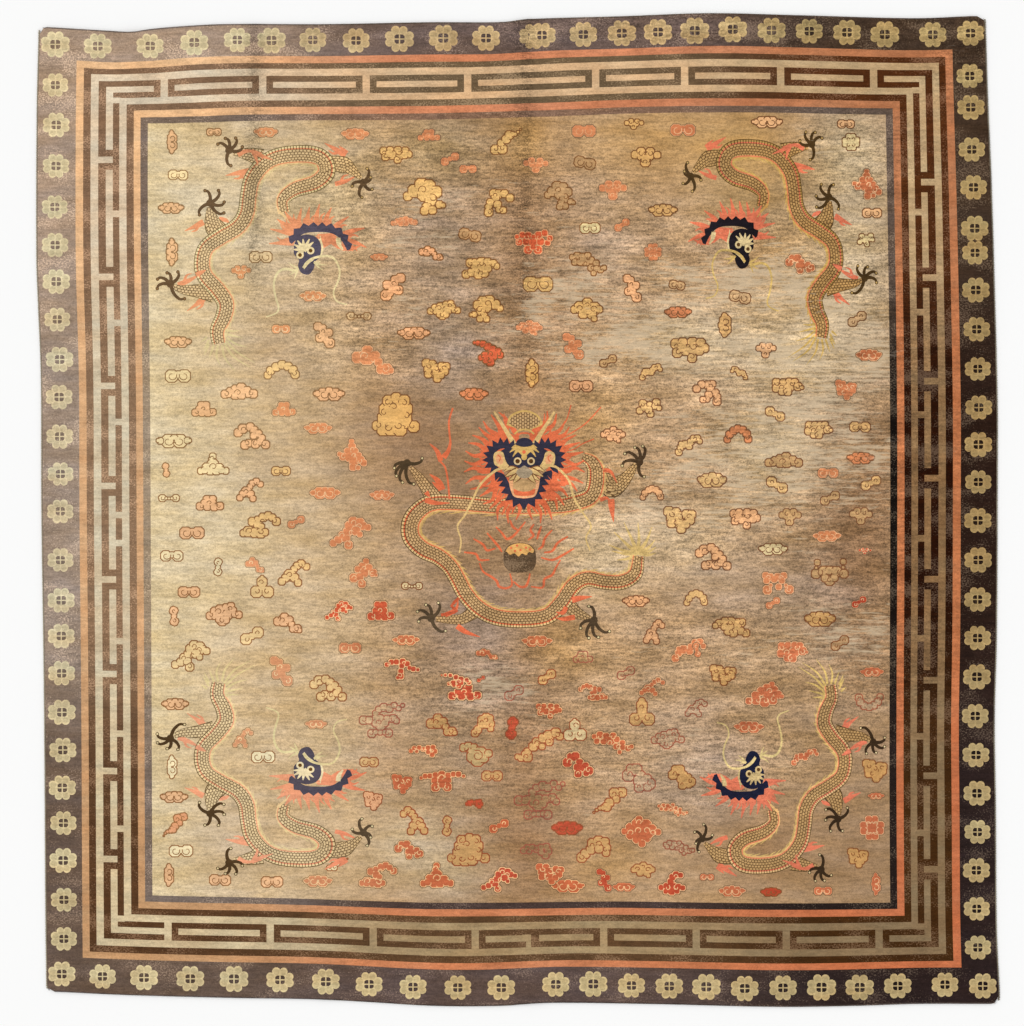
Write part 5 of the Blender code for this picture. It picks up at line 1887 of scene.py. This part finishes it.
def buildSideCord(side, stitch):
    sign = -1 if side == "left" else 1
    look = cordStitch
    count = round(carpet["length"] / look["pitch"]) - 1
    rows = (np.arange(count) + 0.5) / count * (carpet["length"] - 2 * look["short"])
    rows = rows - endY + look["short"]
    edgeX, edgeY = laidPlace(np.full(count, sign * sideX), rows)
    middleX = edgeX - sign * look["width"] / 2
    middleZ = floorLift(edgeX, edgeY) + look["height"] / 2
    shape = np.array([v.co for v in stitch.data.vertices])
    faces = np.array([list(p.vertices) for p in stitch.data.polygons])
    scale = look["width"] / (1 + look["yarn"])
    # The core that the yarn is wound on.
    core = []
    ring = [(math.cos(a) * look["core"] * look["width"], math.sin(a) * look["core"] * look["height"])
            for a in np.arange(8) * math.pi / 4]
    points, allFaces, coreFaces = [], [], []
    base = count * len(shape)
    for k in range(count):
        part = shape.copy()
        part[:, 1] = part[:, 1] * scale * 1.05 + part[:, 2] * look["slant"] * 2
        part[:, 0] *= scale * (1 + 0.05 * math.sin(k * 2.3))
        part[:, 2] *= scale
        part += (middleX[k], edgeY[k] + 0.0008 * math.sin(k * 1.7), middleZ[k] + look["lift"])
        points.append(part)
        allFaces.append(faces + k * len(shape))
        core += [(middleX[k] + a, edgeY[k], middleZ[k] + b) for a, b in ring]
        if k < count - 1:
            for i in range(8):
                a, b = base + k * 8 + i, base + k * 8 + (i + 1) % 8
                coreFaces.append((a, a + 8, b + 8, b))
    points.append(np.array(core))
    mesh = bpy.data.meshes.new("side cord " + side)
    ends = [tuple(range(base, base + 8)), tuple(range(base + count * 8 - 1, base + count * 8 - 9, -1))]
    mesh.from_pydata(np.vstack(points).tolist(), [], np.vstack(allFaces).tolist() + coreFaces + ends)
    piece = addObject("overcastCord_" + side, mesh)
    mesh.materials.append(cordMaterial(side))
    bm = bmesh.new()
    bm.from_mesh(mesh)
    bmesh.ops.recalc_face_normals(bm, faces=bm.faces[:])
    bm.to_mesh(mesh)
    bm.free()
    mesh.shade_smooth()
    return piece


bpy.context.scene.view_settings.view_transform = "Standard"
carpetPiece = buildCarpet()
stitch = buildStitch()
cordPieces = [buildSideCord(side, stitch) for side in ("left", "right")]
bpy.data.objects.remove(stitch, do_unlink=True)
print("side cords stitched")

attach(carpetPiece, "root")
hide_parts("carpet")
for piece, node in zip(cordPieces, ("side_cord_left", "side_cord_right")):
    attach(piece, "root")
    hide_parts(node)

# Floor, light and camera.
studio = {"floorSize": 40.0, "floor": (0.98, 0.98, 0.975), "sky": 0.80, "sun": 0.80, "soft": 28,
          "lens": 85.0, "sensor": 36.0, "seenAcross": 4.8735, "aimX": -0.0285, "aimY": -0.01425}


def buildStudio():
    bpy.ops.object.select_all(action="DESELECT")
    bpy.ops.mesh.primitive_plane_add(size=studio["floorSize"], location=(0, 0, -0.0004))
    floor = bpy.context.active_object
    floor.name = "floor"
    material, kit, shader = startMaterial("pale floor", 0.85, 0.1, 0.0)
    soft = kit.noise(place(kit), 1.5, 2.0)
    low = tuple(value * 0.99 for value in studio["floor"])
    kit.join(kit.blend(soft, low, studio["floor"]), shader.inputs["Base Color"])
    floor.data.materials.append(material)
    world = bpy.data.worlds.new("studio")
    bpy.context.scene.world = world
    world.use_nodes = True
    sky = world.node_tree.nodes["Background"].inputs
    sky["Color"].default_value = (1, 1, 1, 1)
    sky["Strength"].default_value = studio["sky"]
    sun = bpy.data.lights.new("soft light", "SUN")
    sun.energy = studio["sun"]
    sun.angle = math.radians(studio["soft"])
    addObject("soft light", sun).rotation_euler = (math.radians(-18), math.radians(-38), 0)
    camera = bpy.data.cameras.new("camera")
    camera.lens = studio["lens"]
    camera.sensor_width = studio["sensor"]
    camera.clip_end = 100
    view = addObject("camera", camera)
    away = studio["seenAcross"] * studio["lens"] / studio["sensor"]
    view.location = (studio["aimX"], studio["aimY"], carpet["thickness"] + away)
    bpy.context.scene.camera = view


buildStudio()
print("studio set")
